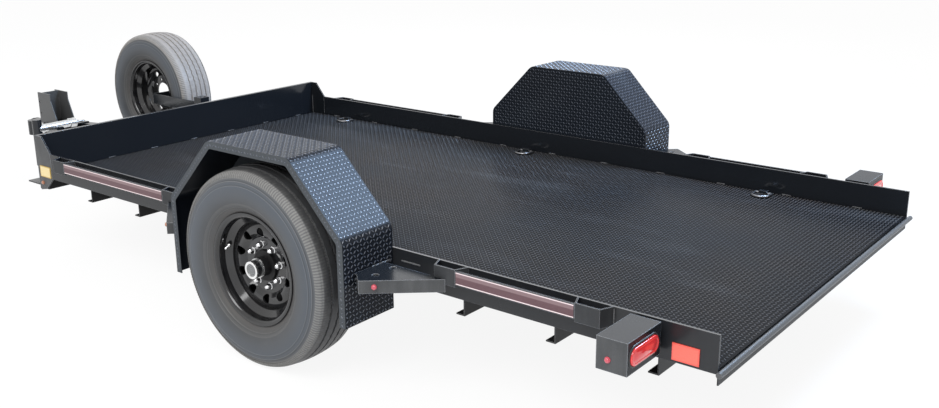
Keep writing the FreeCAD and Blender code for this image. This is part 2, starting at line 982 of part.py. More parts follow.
def make_rail():
    tail = pivot_place - size.rail_tail
    half = size.rail_width / 2
    gauge = size.rail_gauge
    y_low = size.rail_side - half
    y_high = size.rail_side + half
    shell = block(tail, chassis_front, y_low, y_high, rail_low, size.rail_top)
    hollow = block(tail + gauge, chassis_front + OVERRUN, y_low + gauge, y_high - gauge,
                   rail_low + gauge, size.rail_top - gauge)
    tube = cut(shell, hollow)
    reach = half + size.ear_gap - size.pivot_sleeve_gap
    sleeve = rod("Y", pivot_place, size.rail_side - reach, size.pivot_level,
                 size.pivot_sleeve_radius, 2 * reach)
    bore = rod("Y", pivot_place, size.rail_side - reach - OVERRUN, size.pivot_level,
               size.pivot_pin_radius + size.pivot_clearance, 2 * reach + 2 * OVERRUN)
    square = size.axle_square / 2
    notch = block(axle_place - square, axle_place + square, y_low - OVERRUN, y_high + OVERRUN,
                  axle_level - square, size.rail_top + OVERRUN)
    return cut(join([tube, sleeve]), bore, notch)


def tongue_slope():
    """How far a tongue member comes in for each millimetre forward."""
    return (size.rail_side - size.tip_side) / size.tongue_length


def tongue_half(depth):
    """Half width of a tongue member along Y, set in by a depth."""
    slope = tongue_slope()
    return (size.rail_width / 2 - depth) * root(1 + slope * slope)


def tongue_bar(depth, overrun):
    """Plan corners of a slanting tongue member, set in by a depth."""
    half = tongue_half(depth)
    slope = tongue_slope()
    back = chassis_front - overrun
    front = post_place + overrun
    back_side = size.rail_side + slope * overrun
    front_side = size.tip_side - slope * overrun
    return [
        (back, back_side - half),
        (front, front_side - half),
        (front, front_side + half),
        (back, back_side + half),
    ]


def make_tongue():
    gauge = size.rail_gauge
    outer = pad("XY", tongue_bar(0, 0), rail_low, size.rail_top)
    inner = pad("XY", tongue_bar(gauge, OVERRUN), rail_low + gauge, size.rail_top - gauge)
    keep_sides("tongue_member", cut(outer, inner))


def make_chassis_cross(x):
    """A hollow cross tube between the two rails."""
    half = size.rail_width / 2
    gauge = size.rail_gauge
    side = size.rail_side - half
    shell = block(x - half, x + half, -side, side, rail_low, size.rail_top)
    hollow = block(x - half + gauge, x + half - gauge, -side - OVERRUN, side + OVERRUN,
                   rail_low + gauge, size.rail_top - gauge)
    return cut(shell, hollow)


def make_chassis():
    keep_sides("chassis_rail", make_rail())
    make_tongue()
    setbacks = [size.chassis_cross_first, size.chassis_cross_second, size.rail_width / 2]
    keep("chassis_cross_tubes", group([make_chassis_cross(chassis_front - back) for back in setbacks]))
    front = cross_place(0)
    half = size.pad_length / 2
    pad_block = block(front - half, front + half, size.rail_side - size.rail_width / 2,
                      size.rail_side + size.rail_width / 2, size.rail_top, cross_low - size.pad_clearance)
    keep("rest_pads", pair(pad_block))


# Axle


def make_axle():
    half = size.axle_square / 2
    inner = half - size.axle_gauge
    reach = wall_out + size.arm_gap
    shell = block(axle_place - half, axle_place + half, -reach, reach, axle_level - half, axle_level + half)
    hollow = block(axle_place - inner, axle_place + inner, -reach - OVERRUN, reach + OVERRUN,
                   axle_level - inner, axle_level + inner)
    keep("axle_tube", cut(shell, hollow))
    make_arms(reach)
    make_axle_brackets()


def make_arms(start):
    """Torsion arms that carry the spindles and the brake backing plates."""
    end = start + size.arm_gauge
    run = size.axle_ahead
    fall = wheel_level - axle_level
    span = root(run * run + fall * fall)
    x = wheel_place
    big = size.arm_big_radius
    small = size.arm_small_radius
    corners = [
        (axle_place + big * fall / span, axle_level + big * run / span),
        (x + small * fall / span, wheel_level + small * run / span),
        (x - small * fall / span, wheel_level - small * run / span),
        (axle_place - big * fall / span, axle_level - big * run / span),
    ]
    web = pad("XZ", corners, start, end)
    pieces = [
        web,
        rod("Y", axle_place, start, axle_level, big, size.arm_gauge),
        rod("Y", x, start, wheel_level, small, size.arm_gauge),
        rod("Y", x, end, wheel_level, size.backing_radius, size.backing_gauge),
        rod("Y", x, end, wheel_level, size.spindle_radius, wheel_side + size.spindle_reach - end),
    ]
    keep("torsion_arms", pair(join(pieces)))


def make_axle_brackets():
    half = size.axle_square / 2
    reach = half + size.bracket_reach
    gauge = size.ear_gauge
    top = axle_level + half
    corners = [
        (axle_place - reach, rail_low),
        (axle_place + reach, rail_low),
        (axle_place + reach, top),
        (axle_place + half, top),
        (axle_place + half, axle_level - half),
        (axle_place - half, axle_level - half),
        (axle_place - half, top),
        (axle_place - reach, top),
    ]
    outside = size.rail_side + size.rail_width / 2
    inside = size.rail_side - size.rail_width / 2
    plates = [pad("XZ", corners, outside, outside + gauge), pad("XZ", corners, inside - gauge, inside)]
    keep("axle_brackets", group(plates + [mirrored(plate) for plate in plates]))


# Tilt pivot


def make_ear(y_low, y_high):
    back = cross_place(PIVOT_BAY) + size.cross_flange / 2
    front = cross_place(PIVOT_BAY - 1) - size.cross_flange / 2
    boss = size.ear_boss_radius
    corners = [
        (back, deck_under),
        (back, cross_low),
        (pivot_place - boss, size.pivot_level),
        (pivot_place + boss, size.pivot_level),
        (front, cross_low),
        (front, deck_under),
    ]
    plate = pad("XZ", corners, y_low, y_high)
    round_end = rod("Y", pivot_place, y_low, size.pivot_level, boss, y_high - y_low)
    bore = rod("Y", pivot_place, y_low - OVERRUN, size.pivot_level, size.pivot_pin_radius,
               y_high - y_low + 2 * OVERRUN)
    return cut(join([plate, round_end]), bore)


def make_pivot():
    half = size.rail_width / 2 + size.ear_gap
    gauge = size.ear_gauge
    outer = make_ear(size.rail_side + half, size.rail_side + half + gauge)
    inner = make_ear(size.rail_side - half - gauge, size.rail_side - half)
    keep("pivot_ears", group([outer, inner, mirrored(outer), mirrored(inner)]))
    reach = half + gauge
    head = size.pivot_head_gauge
    radius = size.pivot_pin_radius
    pieces = [rod("Y", pivot_place, size.rail_side - reach, size.pivot_level, radius, 2 * reach)]
    for start in (size.rail_side + reach, size.rail_side - reach - head):
        pieces.append(rod("Y", pivot_place, start, size.pivot_level, radius + size.pivot_head_rise, head))
    keep("pivot_pins", pair(join(pieces)))


# Wheels


def bend(start, end, rise):
    """Radius of the arc between two section points that stands out from its chord by a rise."""
    across = end[0] - start[0]
    along = end[1] - start[1]
    return (across * across + along * along) / (8 * rise) + rise / 2


def reflected(corners):
    """A run of section points on the wheel's other side, walked back, with its arcs."""
    result = []
    for index in reversed(range(len(corners))):
        radius, side = corners[index][:2]
        arc = corners[index - 1][2:] if index > 0 else ()
        result.append((radius, -side) + tuple(arc))
    return result


def groove(side):
    """A tread groove's section at a distance from the tread's middle."""
    tread = size.tread_half
    half = size.groove_half
    levels = []
    for edge in (side + half, side - half):
        levels.append(size.tyre_radius - size.tread_crown * edge * edge / (tread * tread))
    floor = levels[0] - size.groove_depth
    return [(levels[0], side + half), (floor, side + half), (floor, side - half), (levels[1], side - half)]


def tyre_corners():
    """The tyre's section as radius and side: bead, bulging sidewall, shoulder, grooved tread and hollow."""
    outer = size.tyre_radius
    bead = size.bead_radius
    half = size.rim_half
    seat = (size.rim_flange_radius, half - size.rim_edge)
    shoulder = (outer - size.shoulder_drop, size.tyre_bulge - size.shoulder_inset)
    edge = (outer - size.tread_crown, size.tread_half)
    bulge = size.tyre_bulge - (seat[1] + shoulder[1]) / 2
    outside = [
        (bead, half - size.bead_toe),
        (bead, half - size.rim_root),
        seat + (-bend(seat, shoulder, bulge),),
        shoulder + (-bend(shoulder, edge, size.shoulder_bulge),),
        edge,
    ] + groove(size.groove_outer) + groove(size.groove_inner)
    tread = (outer - size.tread_gauge, size.tread_half - size.shoulder_gauge)
    foot = (bead + size.bead_gauge, half - size.bead_shelf)
    hollow = size.tyre_bulge - size.sidewall_gauge - (tread[1] + foot[1]) / 2
    inside = [tread + (bend(tread, foot, hollow),), foot]
    return outside + reflected(outside) + reflected(inside) + inside


def rim_corners(way):
    """The rim and its dished disc in one section, as radius and side."""
    flange = size.rim_flange_radius
    bead = size.bead_radius
    half = size.rim_half
    face = size.lug_face
    gauge = size.disc_gauge
    wall = size.rim_gauge
    well = bead - size.well_depth
    inner_well = well - wall
    inner_bead = bead - wall
    ledge = half - size.ledge_length
    slope = half - size.well_start
    hub_edge = size.lug_circle_radius + size.disc_step
    crest = (hub_edge + size.disc_slope, face + size.disc_crest)
    weld = (inner_well, face + wall)
    back_weld = (inner_well, face - gauge)
    back_crest = (crest[0], crest[1] - gauge)
    roll = (inner_bead, half - size.rim_roll)
    tip = (flange - wall, half)
    rolled = -bend(roll, tip, size.rim_roll_bulge)
    points = [
        (flange, half),
        (flange, half - size.rim_edge),
        (bead, half - size.rim_root),
        (bead, ledge),
        (well, slope),
        (well, -slope),
        (bead, -ledge),
        (bead, size.rim_root - half),
        (flange, size.rim_edge - half),
        (flange, -half),
        (tip[0], -tip[1], rolled),
        (roll[0], -roll[1]),
        (inner_bead, -ledge),
        (inner_well, -slope),
        back_weld + (bend(back_weld, back_crest, size.disc_crest_bulge),),
        back_crest,
        (hub_edge, face - gauge),
        (size.pilot_radius, face - gauge),
        (size.pilot_radius, face),
        (hub_edge, face),
        crest + (-bend(crest, weld, size.disc_crest_bulge),),
        weld,
        (inner_well, slope),
        (inner_bead, ledge),
        roll + (rolled,),
        tip,
    ]
    return [(point[0], point[1] * way) + tuple(arc * way for arc in point[2:]) for point in points]


def punch(body, circle_radius, radius, count, turn):
    """A ring of round holes through a wheel's disc, with the first at a turn from the front."""
    sketch = body.newObject("Sketcher::SketchObject", "Hole")
    sketch.AttachmentSupport = [(origin_part(body, "XZ_Plane"), "")]
    sketch.MapMode = "FlatFace"
    across = round(math.cos(math.radians(turn)), 9)
    up = round(math.sin(math.radians(turn)), 9)
    add_circle(sketch, circle_radius * across, circle_radius * up, radius)
    pocket = body.newObject("PartDesign::Pocket", "Pocket")
    pocket.Profile = sketch
    pocket.Type = "ThroughAll"
    pocket.Midplane = True
    pattern = body.newObject("PartDesign::PolarPattern", "Round")
    pattern.Originals = [pocket]
    pattern.Axis = (origin_part(body, "Y_Axis"), [""])
    pattern.Angle = 360
    pattern.Occurrences = count
    body.Tip = pattern
    document.recompute()


def make_rim(x, y, z, way):
    """A steel wheel: one turned section, then the vents and the stud holes by patterns."""
    body = turned("Y", rim_corners(way), x, y, z)
    document.recompute()
    punch(body, size.vent_circle_radius, size.vent_radius, VENT_COUNT, VENT_TURN)
    punch(body, size.lug_circle_radius, size.lug_hole_radius, LUG_COUNT, LUG_TURN)
    return body


def make_hub():
    """Brake drum and hub in one turned piece, with the bearing bore blind at its nose."""
    bore = size.spindle_radius + size.bearing_clearance
    start = drum_back - wheel_side
    mount = size.lug_face - size.disc_gauge
    drum = size.drum_radius
    drum_inside = drum - size.drum_wall
    barrel = size.hub_barrel_radius
    seat = size.lug_circle_radius + size.hub_seat_edge
    nose = size.pilot_radius - size.hub_clearance
    neck = size.hub_neck_radius
    blind = size.spindle_reach + size.spindle_end_gap
    corners = [
        (bore, start),
        (barrel, start),
        (barrel, mount - size.drum_web),
        (drum_inside, mount - size.drum_web),
        (drum_inside, start),
        (drum, start),
        (drum, mount - size.drum_step),
        (seat, mount - size.drum_step),
        (seat, mount),
        (nose, mount),
        (nose, size.hub_nose),
        (neck, size.hub_nose),
        (neck, size.hub_end),
        (0, size.hub_end),
        (0, blind),
        (bore, blind),
    ]
    return turned("Y", corners, wheel_place, wheel_side, wheel_level)


def make_hub_cap():
    """Bearing cap with a flange, a front ring and a sunken window."""
    seat = size.hub_end
    end = seat + size.cap_length
    radius = size.cap_radius
    flange = radius + size.cap_flange
    step = seat + size.cap_flange_gauge
    window = size.cap_window_radius
    corners = [
        (0, seat),
        (flange, seat),
        (flange, step),
        (radius, step),
        (radius, end),
        (window, end),
        (window, end - size.cap_window_depth),
        (0, end - size.cap_window_depth),
    ]
    return turned("Y", corners, wheel_place, wheel_side, wheel_level)


def make_wheels():
    keep_sides("tyre", turned("Y", tyre_corners(), wheel_place, wheel_side, wheel_level))
    keep_sides("rim", make_rim(wheel_place, wheel_side, wheel_level, 1))
    keep_sides("hub", make_hub())
    keep_sides("hub_cap", make_hub_cap())


# Spare wheel


def make_spare():
    x = chassis_front + size.spare_ahead
    y = -size.spare_side
    z = size.spare_level
    keep("spare_tyre", turned("Y", tyre_corners(), x, y, z))
    keep("spare_rim", make_rim(x, y, z, -1))
    keep("spare_bracket", join([make_spare_post(), make_spare_arm(x, y), make_spare_plate(x, y, z)]))


def make_spare_post():
    """An upright square tube on the right tongue member, closed at its top."""
    square = size.spare_post_square
    wall = size.spare_post_gauge
    back = chassis_front + size.spare_post_ahead
    front = back + square
    ahead = post_place - (back + front) / 2
    high = square / 2 - size.tip_side - tongue_slope() * ahead
    low = high - square
    top = size.spare_post_top
    shell = block(back, front, low, high, size.rail_top, top)
    hollow = block(back + wall, front - wall, low + wall, high - wall, size.rail_top - OVERRUN, top - wall)
    return cut(shell, hollow)


def make_spare_arm(x, y):
    """A bent bar from the post to the wheel's disc."""
    start = chassis_front + size.spare_post_ahead + size.spare_post_square
    gauge = size.spare_arm_gauge
    face = y + size.tyre_bulge + size.spare_clearance
    seat = y - size.lug_face + size.disc_gauge
    turn = x - size.spare_plate_radius
    corners = [
        (start, face),
        (turn, face),
        (turn, seat),
        (turn + gauge, seat),
        (turn + gauge, face + gauge),
        (start, face + gauge),
    ]
    return pad("XY", corners, size.spare_arm_low, size.spare_arm_low + size.spare_arm_height)


def make_spare_plate(x, y, z):
    """The lower half of a round plate, bolted to the wheel's disc."""
    seat = y - size.lug_face + size.disc_gauge
    radius = size.spare_plate_radius
    gauge = size.spare_arm_gauge
    reach = radius + OVERRUN
    disc = rod("Y", x, seat, z, radius, gauge)
    above = block(x - reach, x + reach, seat - OVERRUN, seat + gauge + OVERRUN,
                  z - size.spare_plate_drop, z + reach)
    return cut(disc, above)


# Front end of the tongue


def coupler_bolt(step):
    """A bolt hole across the post, counted from the lowest."""
    half = size.post_width / 2 + OVERRUN
    level = size.coupler_low + size.bolt_above + size.bolt_pitch * step
    return rod("Y", post_place + size.bolt_ahead, -half, level, size.bolt_hole_radius, 2 * half)


def make_post():
    """Upright channel for the coupler, with its gussets."""
    half = size.post_width / 2
    front = post_place + size.post_depth
    web = post_place + size.post_gauge
    inside = half - size.post_flange
    corners = [
        (post_place, -half),
        (front, -half),
        (front, -inside),
        (web, -inside),
        (web, inside),
        (front, inside),
        (front, half),
        (post_place, half),
    ]
    channel = pad("XY", corners, size.post_low, size.post_high)
    holes = [coupler_bolt(step) for step in range(COUPLER_HOLES)]
    foot = size.rail_top + size.tip_plate_gauge
    nose = post_place - size.gusset_top
    corners = [
        (post_place, foot),
        (post_place, size.post_high),
        (nose, size.post_high),
        (nose, size.post_high - size.gusset_nose),
        (post_place - size.gusset_foot, foot),
    ]
    gusset = pad("XZ", corners, size.gusset_side, size.gusset_side + size.gusset_gauge)
    keep("coupler_post", join([cut(channel, *holes), gusset, mirrored(gusset)]))


def make_tip_plates():
    """Plates above and below the tongue's tip."""
    back = post_place - size.tip_plate_length
    front_side = size.tip_side + tongue_half(0)
    back_side = front_side + tongue_slope() * size.tip_plate_length
    corners = [
        (back, -back_side),
        (post_place, -front_side),
        (post_place, front_side),
        (back, back_side),
    ]
    top = pad("XY", corners, size.rail_top, size.rail_top + size.tip_plate_gauge)
    low = pad("XY", corners, rail_low - size.tip_plate_gauge, rail_low)
    keep("tongue_plates", group([top, low]))


def make_coupler():
    """Adjustable coupler with a ball socket, bolted between the post's flanges."""
    half = size.coupler_half
    low = size.coupler_low
    floor = low + size.coupler_floor
    back = post_place + size.post_gauge
    socket = size.ball_radius + size.socket_clearance
    outer = size.socket_outer_radius
    level = low + size.ball_rise
    shelf = size.coupler_high - size.coupler_step
    corners = [
        (back, floor),
        (back, shelf),
        (ball_place, shelf),
        (ball_place, low),
        (ball_place - size.coupler_throat, low),
        (back + size.coupler_knee, floor),
    ]
    wide = block(back, back + size.coupler_block, -half, half, floor, size.coupler_high)
    neck = pad("XZ", corners, size.coupler_neck_inset - outer, outer - size.coupler_neck_inset)
    head = rod("Z", ball_place, 0, low, outer, shelf - low)
    ball = document.addObject("Part::Sphere", "Ball")
    bind(ball, "Radius", socket)
    place(ball, ball_place, 0, level)
    mouth = rod("Z", ball_place, 0, low - OVERRUN, socket, level - low + OVERRUN)
    keep("coupler", cut(join([wide, neck, head]), ball, mouth, coupler_bolt(0), coupler_bolt(1)))
    tail = ball_place - size.latch_back
    nose = ball_place + size.latch_front
    lever = [
        (tail, shelf),
        (tail, shelf + size.latch_edge),
        (tail + size.latch_ramp, shelf + size.latch_rise),
        (nose - size.latch_nose, shelf + size.latch_rise),
        (nose, shelf + size.latch_edge),
        (nose, shelf),
    ]
    keep("coupler_latch", pad("XZ", lever, -size.latch_half, size.latch_half))


def make_jack():
    """Side-mounted drop jack on a cross pipe, standing on its foot."""
    x = jack_place
    pipe = size.jack_pipe_radius
    length = size.jack_pipe_length
    level = size.rail_top + pipe
    side = size.jack_side
    tube = size.jack_tube_radius
    low = size.jack_top - size.jack_tube_length
    collar = size.jack_collar_radius
    collar_length = size.jack_collar_length
    pull = size.jack_pull_length
    pieces = [
        rod("Y", x, 0, level, pipe, length),
        rod("Y", x, 0, level, collar, collar_length),
        rod("Y", x, -pull, level, size.jack_pull_radius, pull),
        rod("Y", x, length, level, size.jack_flange_radius, side - length),
    ]
    saddle = rod("Z", x, side, low - OVERRUN, tube, size.jack_tube_length + 2 * OVERRUN)
    reach = collar + OVERRUN
    under = block(x - reach, x + reach, -OVERRUN, collar_length + OVERRUN, level - reach, size.rail_top)
    keep("jack_pipe", cut(join(pieces), saddle, under))
    keep("jack_tube", rod("Z", x, side, low, tube, size.jack_tube_length))
    foot_top = ground + size.jack_foot_gauge
    foot = size.jack_foot_side / 2
    ram = rod("Z", x, side, foot_top, size.jack_ram_radius, low - foot_top)
    plate = block(x - foot, x + foot, side - foot, side + foot, ground, foot_top)
    keep("jack_foot", join([ram, plate]))


def check_and_write():
    """Stop on any failed object, then write one file for each node."""
    document.recompute()
    for item in document.Objects:
        if "Invalid" in item.State or "Error" in item.State:
            raise RuntimeError("%s (%s) failed: %s" % (item.Label, item.Name, item.State))
    os.makedirs("parts", exist_ok=True)
    for item in nodes:
        shape = item.Shape
        if shape.isNull() or not shape.isValid() or not shape.Solids:
            raise RuntimeError("%s has no valid shape" % item.Label)
    for item in nodes:
        item.Shape.exportStep("parts/%s.step" % item.Label)


make_deck()
make_walls()
make_side_fittings()
make_fenders()
make_braces()
make_tail()
make_markers()
make_reflectors()
make_rings()
make_chassis()
make_axle()
make_pivot()
make_wheels()
make_spare()
make_post()
make_tip_plates()
make_coupler()
make_jack()
check_and_write()
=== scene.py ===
import math

import bmesh
import bpy
from mathutils import Matrix, Vector


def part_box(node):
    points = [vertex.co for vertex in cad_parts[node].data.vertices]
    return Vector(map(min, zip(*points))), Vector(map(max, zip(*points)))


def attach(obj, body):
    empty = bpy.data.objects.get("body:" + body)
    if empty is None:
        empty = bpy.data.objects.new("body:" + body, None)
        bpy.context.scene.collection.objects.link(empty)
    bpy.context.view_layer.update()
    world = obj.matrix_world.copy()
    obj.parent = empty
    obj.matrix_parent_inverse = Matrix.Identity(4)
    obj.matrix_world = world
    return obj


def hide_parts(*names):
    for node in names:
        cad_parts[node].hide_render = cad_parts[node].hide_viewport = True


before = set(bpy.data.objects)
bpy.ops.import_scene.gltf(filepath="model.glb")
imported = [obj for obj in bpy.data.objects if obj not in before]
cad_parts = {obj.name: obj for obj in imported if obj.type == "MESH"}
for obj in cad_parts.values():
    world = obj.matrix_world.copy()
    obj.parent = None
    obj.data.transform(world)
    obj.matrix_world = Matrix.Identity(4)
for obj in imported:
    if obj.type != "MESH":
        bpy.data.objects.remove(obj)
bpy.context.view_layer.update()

# Tread plate and its lugs, in metres
LUG_PITCH = 0.0165
LUG_LENGTH = 0.021
LUG_WIDTH = 0.0075
LUG_HEIGHT = 0.0018
LUG_ROOT = 0.0008
FLAT_REACH = 0.0005
BENT_REACH = 0.0022
DECK_LUG_REAR = 0.006
DECK_LUG_FRONT = 0.004
DECK_LUG_SIDES = 0.01
PANEL_GAUGE = 0.0032
FENDER_SHOULDER = 0.594
FENDER_TOP_HALF = 0.223
FENDER_FOLD = 0.048
FENDER_LIP = 0.029
EDGE_ROUND = 0.0022

# Rims, nuts and valves
STUD_COUNT = 8
STUD_CIRCLE = 0.0825
STUD_TURN = math.radians(33)
LUG_FACE = 0.020
DISC_GAUGE = 0.007
RIM_HALF = 0.0925
BEAD_RADIUS = 0.2035
FLANGE_RADIUS = 0.2205
FLANGE_EDGE = 0.005
NUT_WIDTH = 0.0222
NUT_HEIGHT = 0.026
SPARE_NUT_HEIGHT = 0.024
NUT_SEAT = 0.004
SPARE_NUT_TURNS = (4, 6)
SPARE_PLATE = 0.008
VALVE_TURN = 17
VALVE_LEAN = 35
VALVE_SIDE = 0.050
VALVE_RADIUS = 0.181
VALVE_SECTION = (
    (0.0, 0.0), (0.0085, 0.0), (0.0085, 0.006), (0.0066, 0.0080), (0.0038, 0.009), (0.0038, 0.0145),
    (0.0054, 0.0155), (0.0054, 0.0225), (0.0036, 0.0250), (0.0, 0.0250),
)
CAP_BARREL = (0.0662, 0.0885)
CAP_FLUTES = 36.0
CAP_WINDOW_RADIUS = 0.0247
CAP_WINDOW_FACE = 0.0905
CAP_RING_PITCH = 0.0062

# Tyres
TYRE_SEGMENTS = 288
TREAD_HALF = 0.090
TREAD_CROWN = 0.008
CROWN_SUNK = 0.0002
TREAD_SIDES = (0.076, 0.0845)
GROOVE_PLACES = (0.018, 0.054)
GROOVE_HALF = 0.005
GROOVE_DEPTH = 0.007
GROOVE_LIP = 0.0012
GROOVE_ZONE = (0.008, 0.066)
GROOVE_ZONE_DEPTH = 0.012
GROOVE_SWAY = 0.0011
SHOULDER_DROP = 0.034
SHOULDER_SIDE = 0.1095
SHOULDER_BULGE = 0.004
WALL_BULGE = 0.019
SKIN_SUNK = 0.0011
RIB_COUNT = 216
RIB_WIDTH = 0.0050
RIB_LENGTH = 0.0038
RIB_HEIGHT = 0.016
RIB_OUT = 0.0014
RIB_ASIDE = 0.0012
TREAD_EDGE_SUNK = (0.0016, 0.0012)
SEAT_ROUND = (0.2245, 0.0005)
SEAT_INSET = 0.001
BEAD_ROUND = (0.2105, 0.0100)
BEAD_GAP = 0.0004
BEAD_SIDES = (0.0125, 0.030)
HOLLOW_FOOT = 0.216
HOLLOW = ((0.245, 0.090), (0.300, 0.104), (0.350, 0.094), (0.371, 0.072), (0.3725, 0.0))

# The moulded rings of a sidewall as radius, height and half width, and the plain radii between them
WALL_RINGS = (
    (0.345, 0.0010, 0.0016), (0.3395, 0.0004, 0.0007), (0.3285, 0.0009, 0.0016),
    (0.2590, 0.0007, 0.0012), (0.2450, 0.0008, 0.0014),
)
WALL_RADII = (0.3545, 0.350, 0.3345, 0.322, 0.312, 0.300, 0.288, 0.276, 0.266, 0.252, 0.238, 0.231)

# Lamps, as levels of place and inset from the face, and a marker's section in shares of its size
LAMP_STEPS = 24
LENS_LEVELS = (
    (0.0178, 0.0002), (0.0040, 0.0002), (0.0018, 0.0010), (0.0004, 0.0032), (0.0, 0.0062), (0.0, 0.0085),
    (0.0012, 0.0095), (0.0012, 0.0110), (0.0002, 0.0122),
)
GROMMET_LEVELS = (
    (0.0129, 0.0002), (0.0045, 0.0002), (0.0018, 0.0014), (0.0003, 0.0036), (0.0003, 0.0056),
    (0.0016, 0.0072), (0.0129, 0.0078),
)
MARKER_SECTION = (
    (0.0, 0.0), (1.0, 0.0), (1.0, 0.30), (0.93, 0.42), (0.86, 0.42), (0.84, 0.60), (0.72, 0.80),
    (0.52, 0.93), (0.27, 0.99), (0.0, 1.0),
)

# Tapes, welds and bolts
TAPE_HEIGHT = 0.044
TAPE_GAUGE = 0.0004
TAPE_END = 0.004
RAIL_REACH = 0.01
FACE_REACH = 1e-4
WELD_PITCH = 0.0036
WELD_WIDTH = 0.0065
WELD_OFF = 0.001
STITCH_LENGTH = 0.038
FRONT_STITCH_PITCH = 0.26
WALL_STITCH_PITCH = 0.30
WALL_STITCH_END = 0.05
CORNER_WELD_END = 0.004
BRACE_WELD = (0.045, 0.13)
BRACE_END_WELD = (0.02, 0.11)
BRACE_END_OFF = 0.002
POCKET_WELD_END = 0.01
POST_WELD_PLACE = 0.16
POST_WELD_FOOT = 0.004
TUBE_WELD_SHARE = 0.98
TUBE_WELD_LENGTH = 0.06
COUPLER_BOLT_AHEAD = 0.027
COUPLER_BOLT_LEVELS = (0.216, 0.292)
COUPLER_BOLT_WIDTH = 0.0245
COUPLER_BOLT_SEAT = 0.003
COUPLER_HEAD_HEIGHT = 0.016
COUPLER_NUT_HEIGHT = 0.021

# Seeds of the random draws
SEEDS = {"wheel_nuts": 7, "deck_welds": 11, "frame_welds": 12, "coupler_bolts": 21, "spare_nuts": 22}

# The sidewall's tones as pairs of place and colour, from the bead to the shoulder; the narrow light stops at
# the moulded rings are painted highlights and the dark stops just outside them painted shade
SIDEWALL_TONES_AND_PAINTED_RING_LIGHT = (
    (0.00, (0.030, 0.029, 0.028)), (0.05, (0.075, 0.070, 0.066)), (0.16, (0.072, 0.070, 0.068)),
    (0.175, (0.120, 0.118, 0.114)), (0.19, (0.060, 0.060, 0.060)), (0.285, (0.105, 0.105, 0.104)),
    (0.30, (0.062, 0.064, 0.067)), (0.55, (0.074, 0.082, 0.093)), (0.755, (0.076, 0.088, 0.105)),
    (0.775, (0.160, 0.172, 0.188)), (0.79, (0.050, 0.056, 0.064)), (0.83, (0.080, 0.092, 0.108)),
    (0.88, (0.084, 0.094, 0.108)), (0.893, (0.190, 0.196, 0.204)), (0.91, (0.046, 0.050, 0.056)),
    (0.96, (0.100, 0.104, 0.110)), (1.00, (0.060, 0.062, 0.065)),
)

# Places read from the frame
deck_low, deck_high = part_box("deck_plate")
wall_low, wall_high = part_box("side_wall_left")
tyre_low, tyre_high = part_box("tyre_left")
fender_low, fender_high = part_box("fender_left")
rim_low, rim_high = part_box("rim_left")
spare_low, spare_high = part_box("spare_rim")
deck_top = deck_high.z
wheel_centre = (rim_low + rim_high) / 2
spare_centre = (spare_low + spare_high) / 2
tyre_outer = (tyre_high.x - tyre_low.x) / 2


class Term:
    """One output of a node, so that sums on it read as sums."""

    def __init__(self, maker, socket):
        self.maker = maker
        self.socket = socket

    def other(self, name):
        """Another output of the same node."""
        return Term(self.maker, self.socket.node.outputs[name])

    def sum_with(self, operation, first, second=None):
        inputs = {0: first}
        if second is not None:
            inputs[1] = second
        return self.maker.add("ShaderNodeMath", {"operation": operation}, inputs)

    def __add__(self, value):
        return self.sum_with("ADD", self, value)

    def __radd__(self, value):
        return self.sum_with("ADD", value, self)

    def __sub__(self, value):
        return self.sum_with("SUBTRACT", self, value)

    def __rsub__(self, value):
        return self.sum_with("SUBTRACT", value, self)

    def __mul__(self, value):
        return self.sum_with("MULTIPLY", self, value)

    def __rmul__(self, value):
        return self.sum_with("MULTIPLY", value, self)

    def __truediv__(self, value):
        return self.sum_with("DIVIDE", self, value)

    def __mod__(self, value):
        return self.sum_with("MODULO", self, value)

    def __gt__(self, value):
        return self.sum_with("GREATER_THAN", self, value)

    def __lt__(self, value):
        return self.sum_with("LESS_THAN", self, value)

    def floor(self):
        return self.sum_with("FLOOR", self)

    def absolute(self):
        return self.sum_with("ABSOLUTE", self)

    def root(self):
        return self.sum_with("SQRT", self)

    def sine(self):
        return self.sum_with("SINE", self)

    def cosine(self):
        return self.sum_with("COSINE", self)

    def turn_with(self, value):
        return self.sum_with("ARCTAN2", self, value)

    def highest(self, value):
        return self.sum_with("MAXIMUM", self, value)


class Maker:
    """Adds nodes to one tree."""

    def __init__(self, tree):
        self.tree = tree

    def add(self, kind, settings=None, inputs=None, output=0):
        """A node of a type, its settings set first, then the values or links of its sockets."""
        node = self.tree.nodes.new(kind)
        for name, value in (settings or {}).items():
            if name == "stops":
                set_stops(node.color_ramp, value)
            else:
                setattr(node, name, value)
        for key, value in (inputs or {}).items():
            if isinstance(value, Term):
                self.tree.links.new(value.socket, node.inputs[key])
            else:
                node.inputs[key].default_value = value
        return Term(self, node.outputs[output])

    def seen(self):
        """1 for what the camera sees, straight or by way of gloss or clear plastic."""
        path = self.add("ShaderNodeLightPath", output="Is Camera Ray")
        return path.highest(path.other("Is Glossy Ray")).highest(path.other("Is Transmission Ray"))


def set_stops(ramp, stops):
    """Give a colour ramp its stops, as pairs of place and colour."""
    while len(ramp.elements) < len(stops):
        ramp.elements.new(1.0)
    for element, (place, colour) in zip(ramp.elements, stops):
        element.position = place
        element.color = (*colour, 1.0)


# Finishes


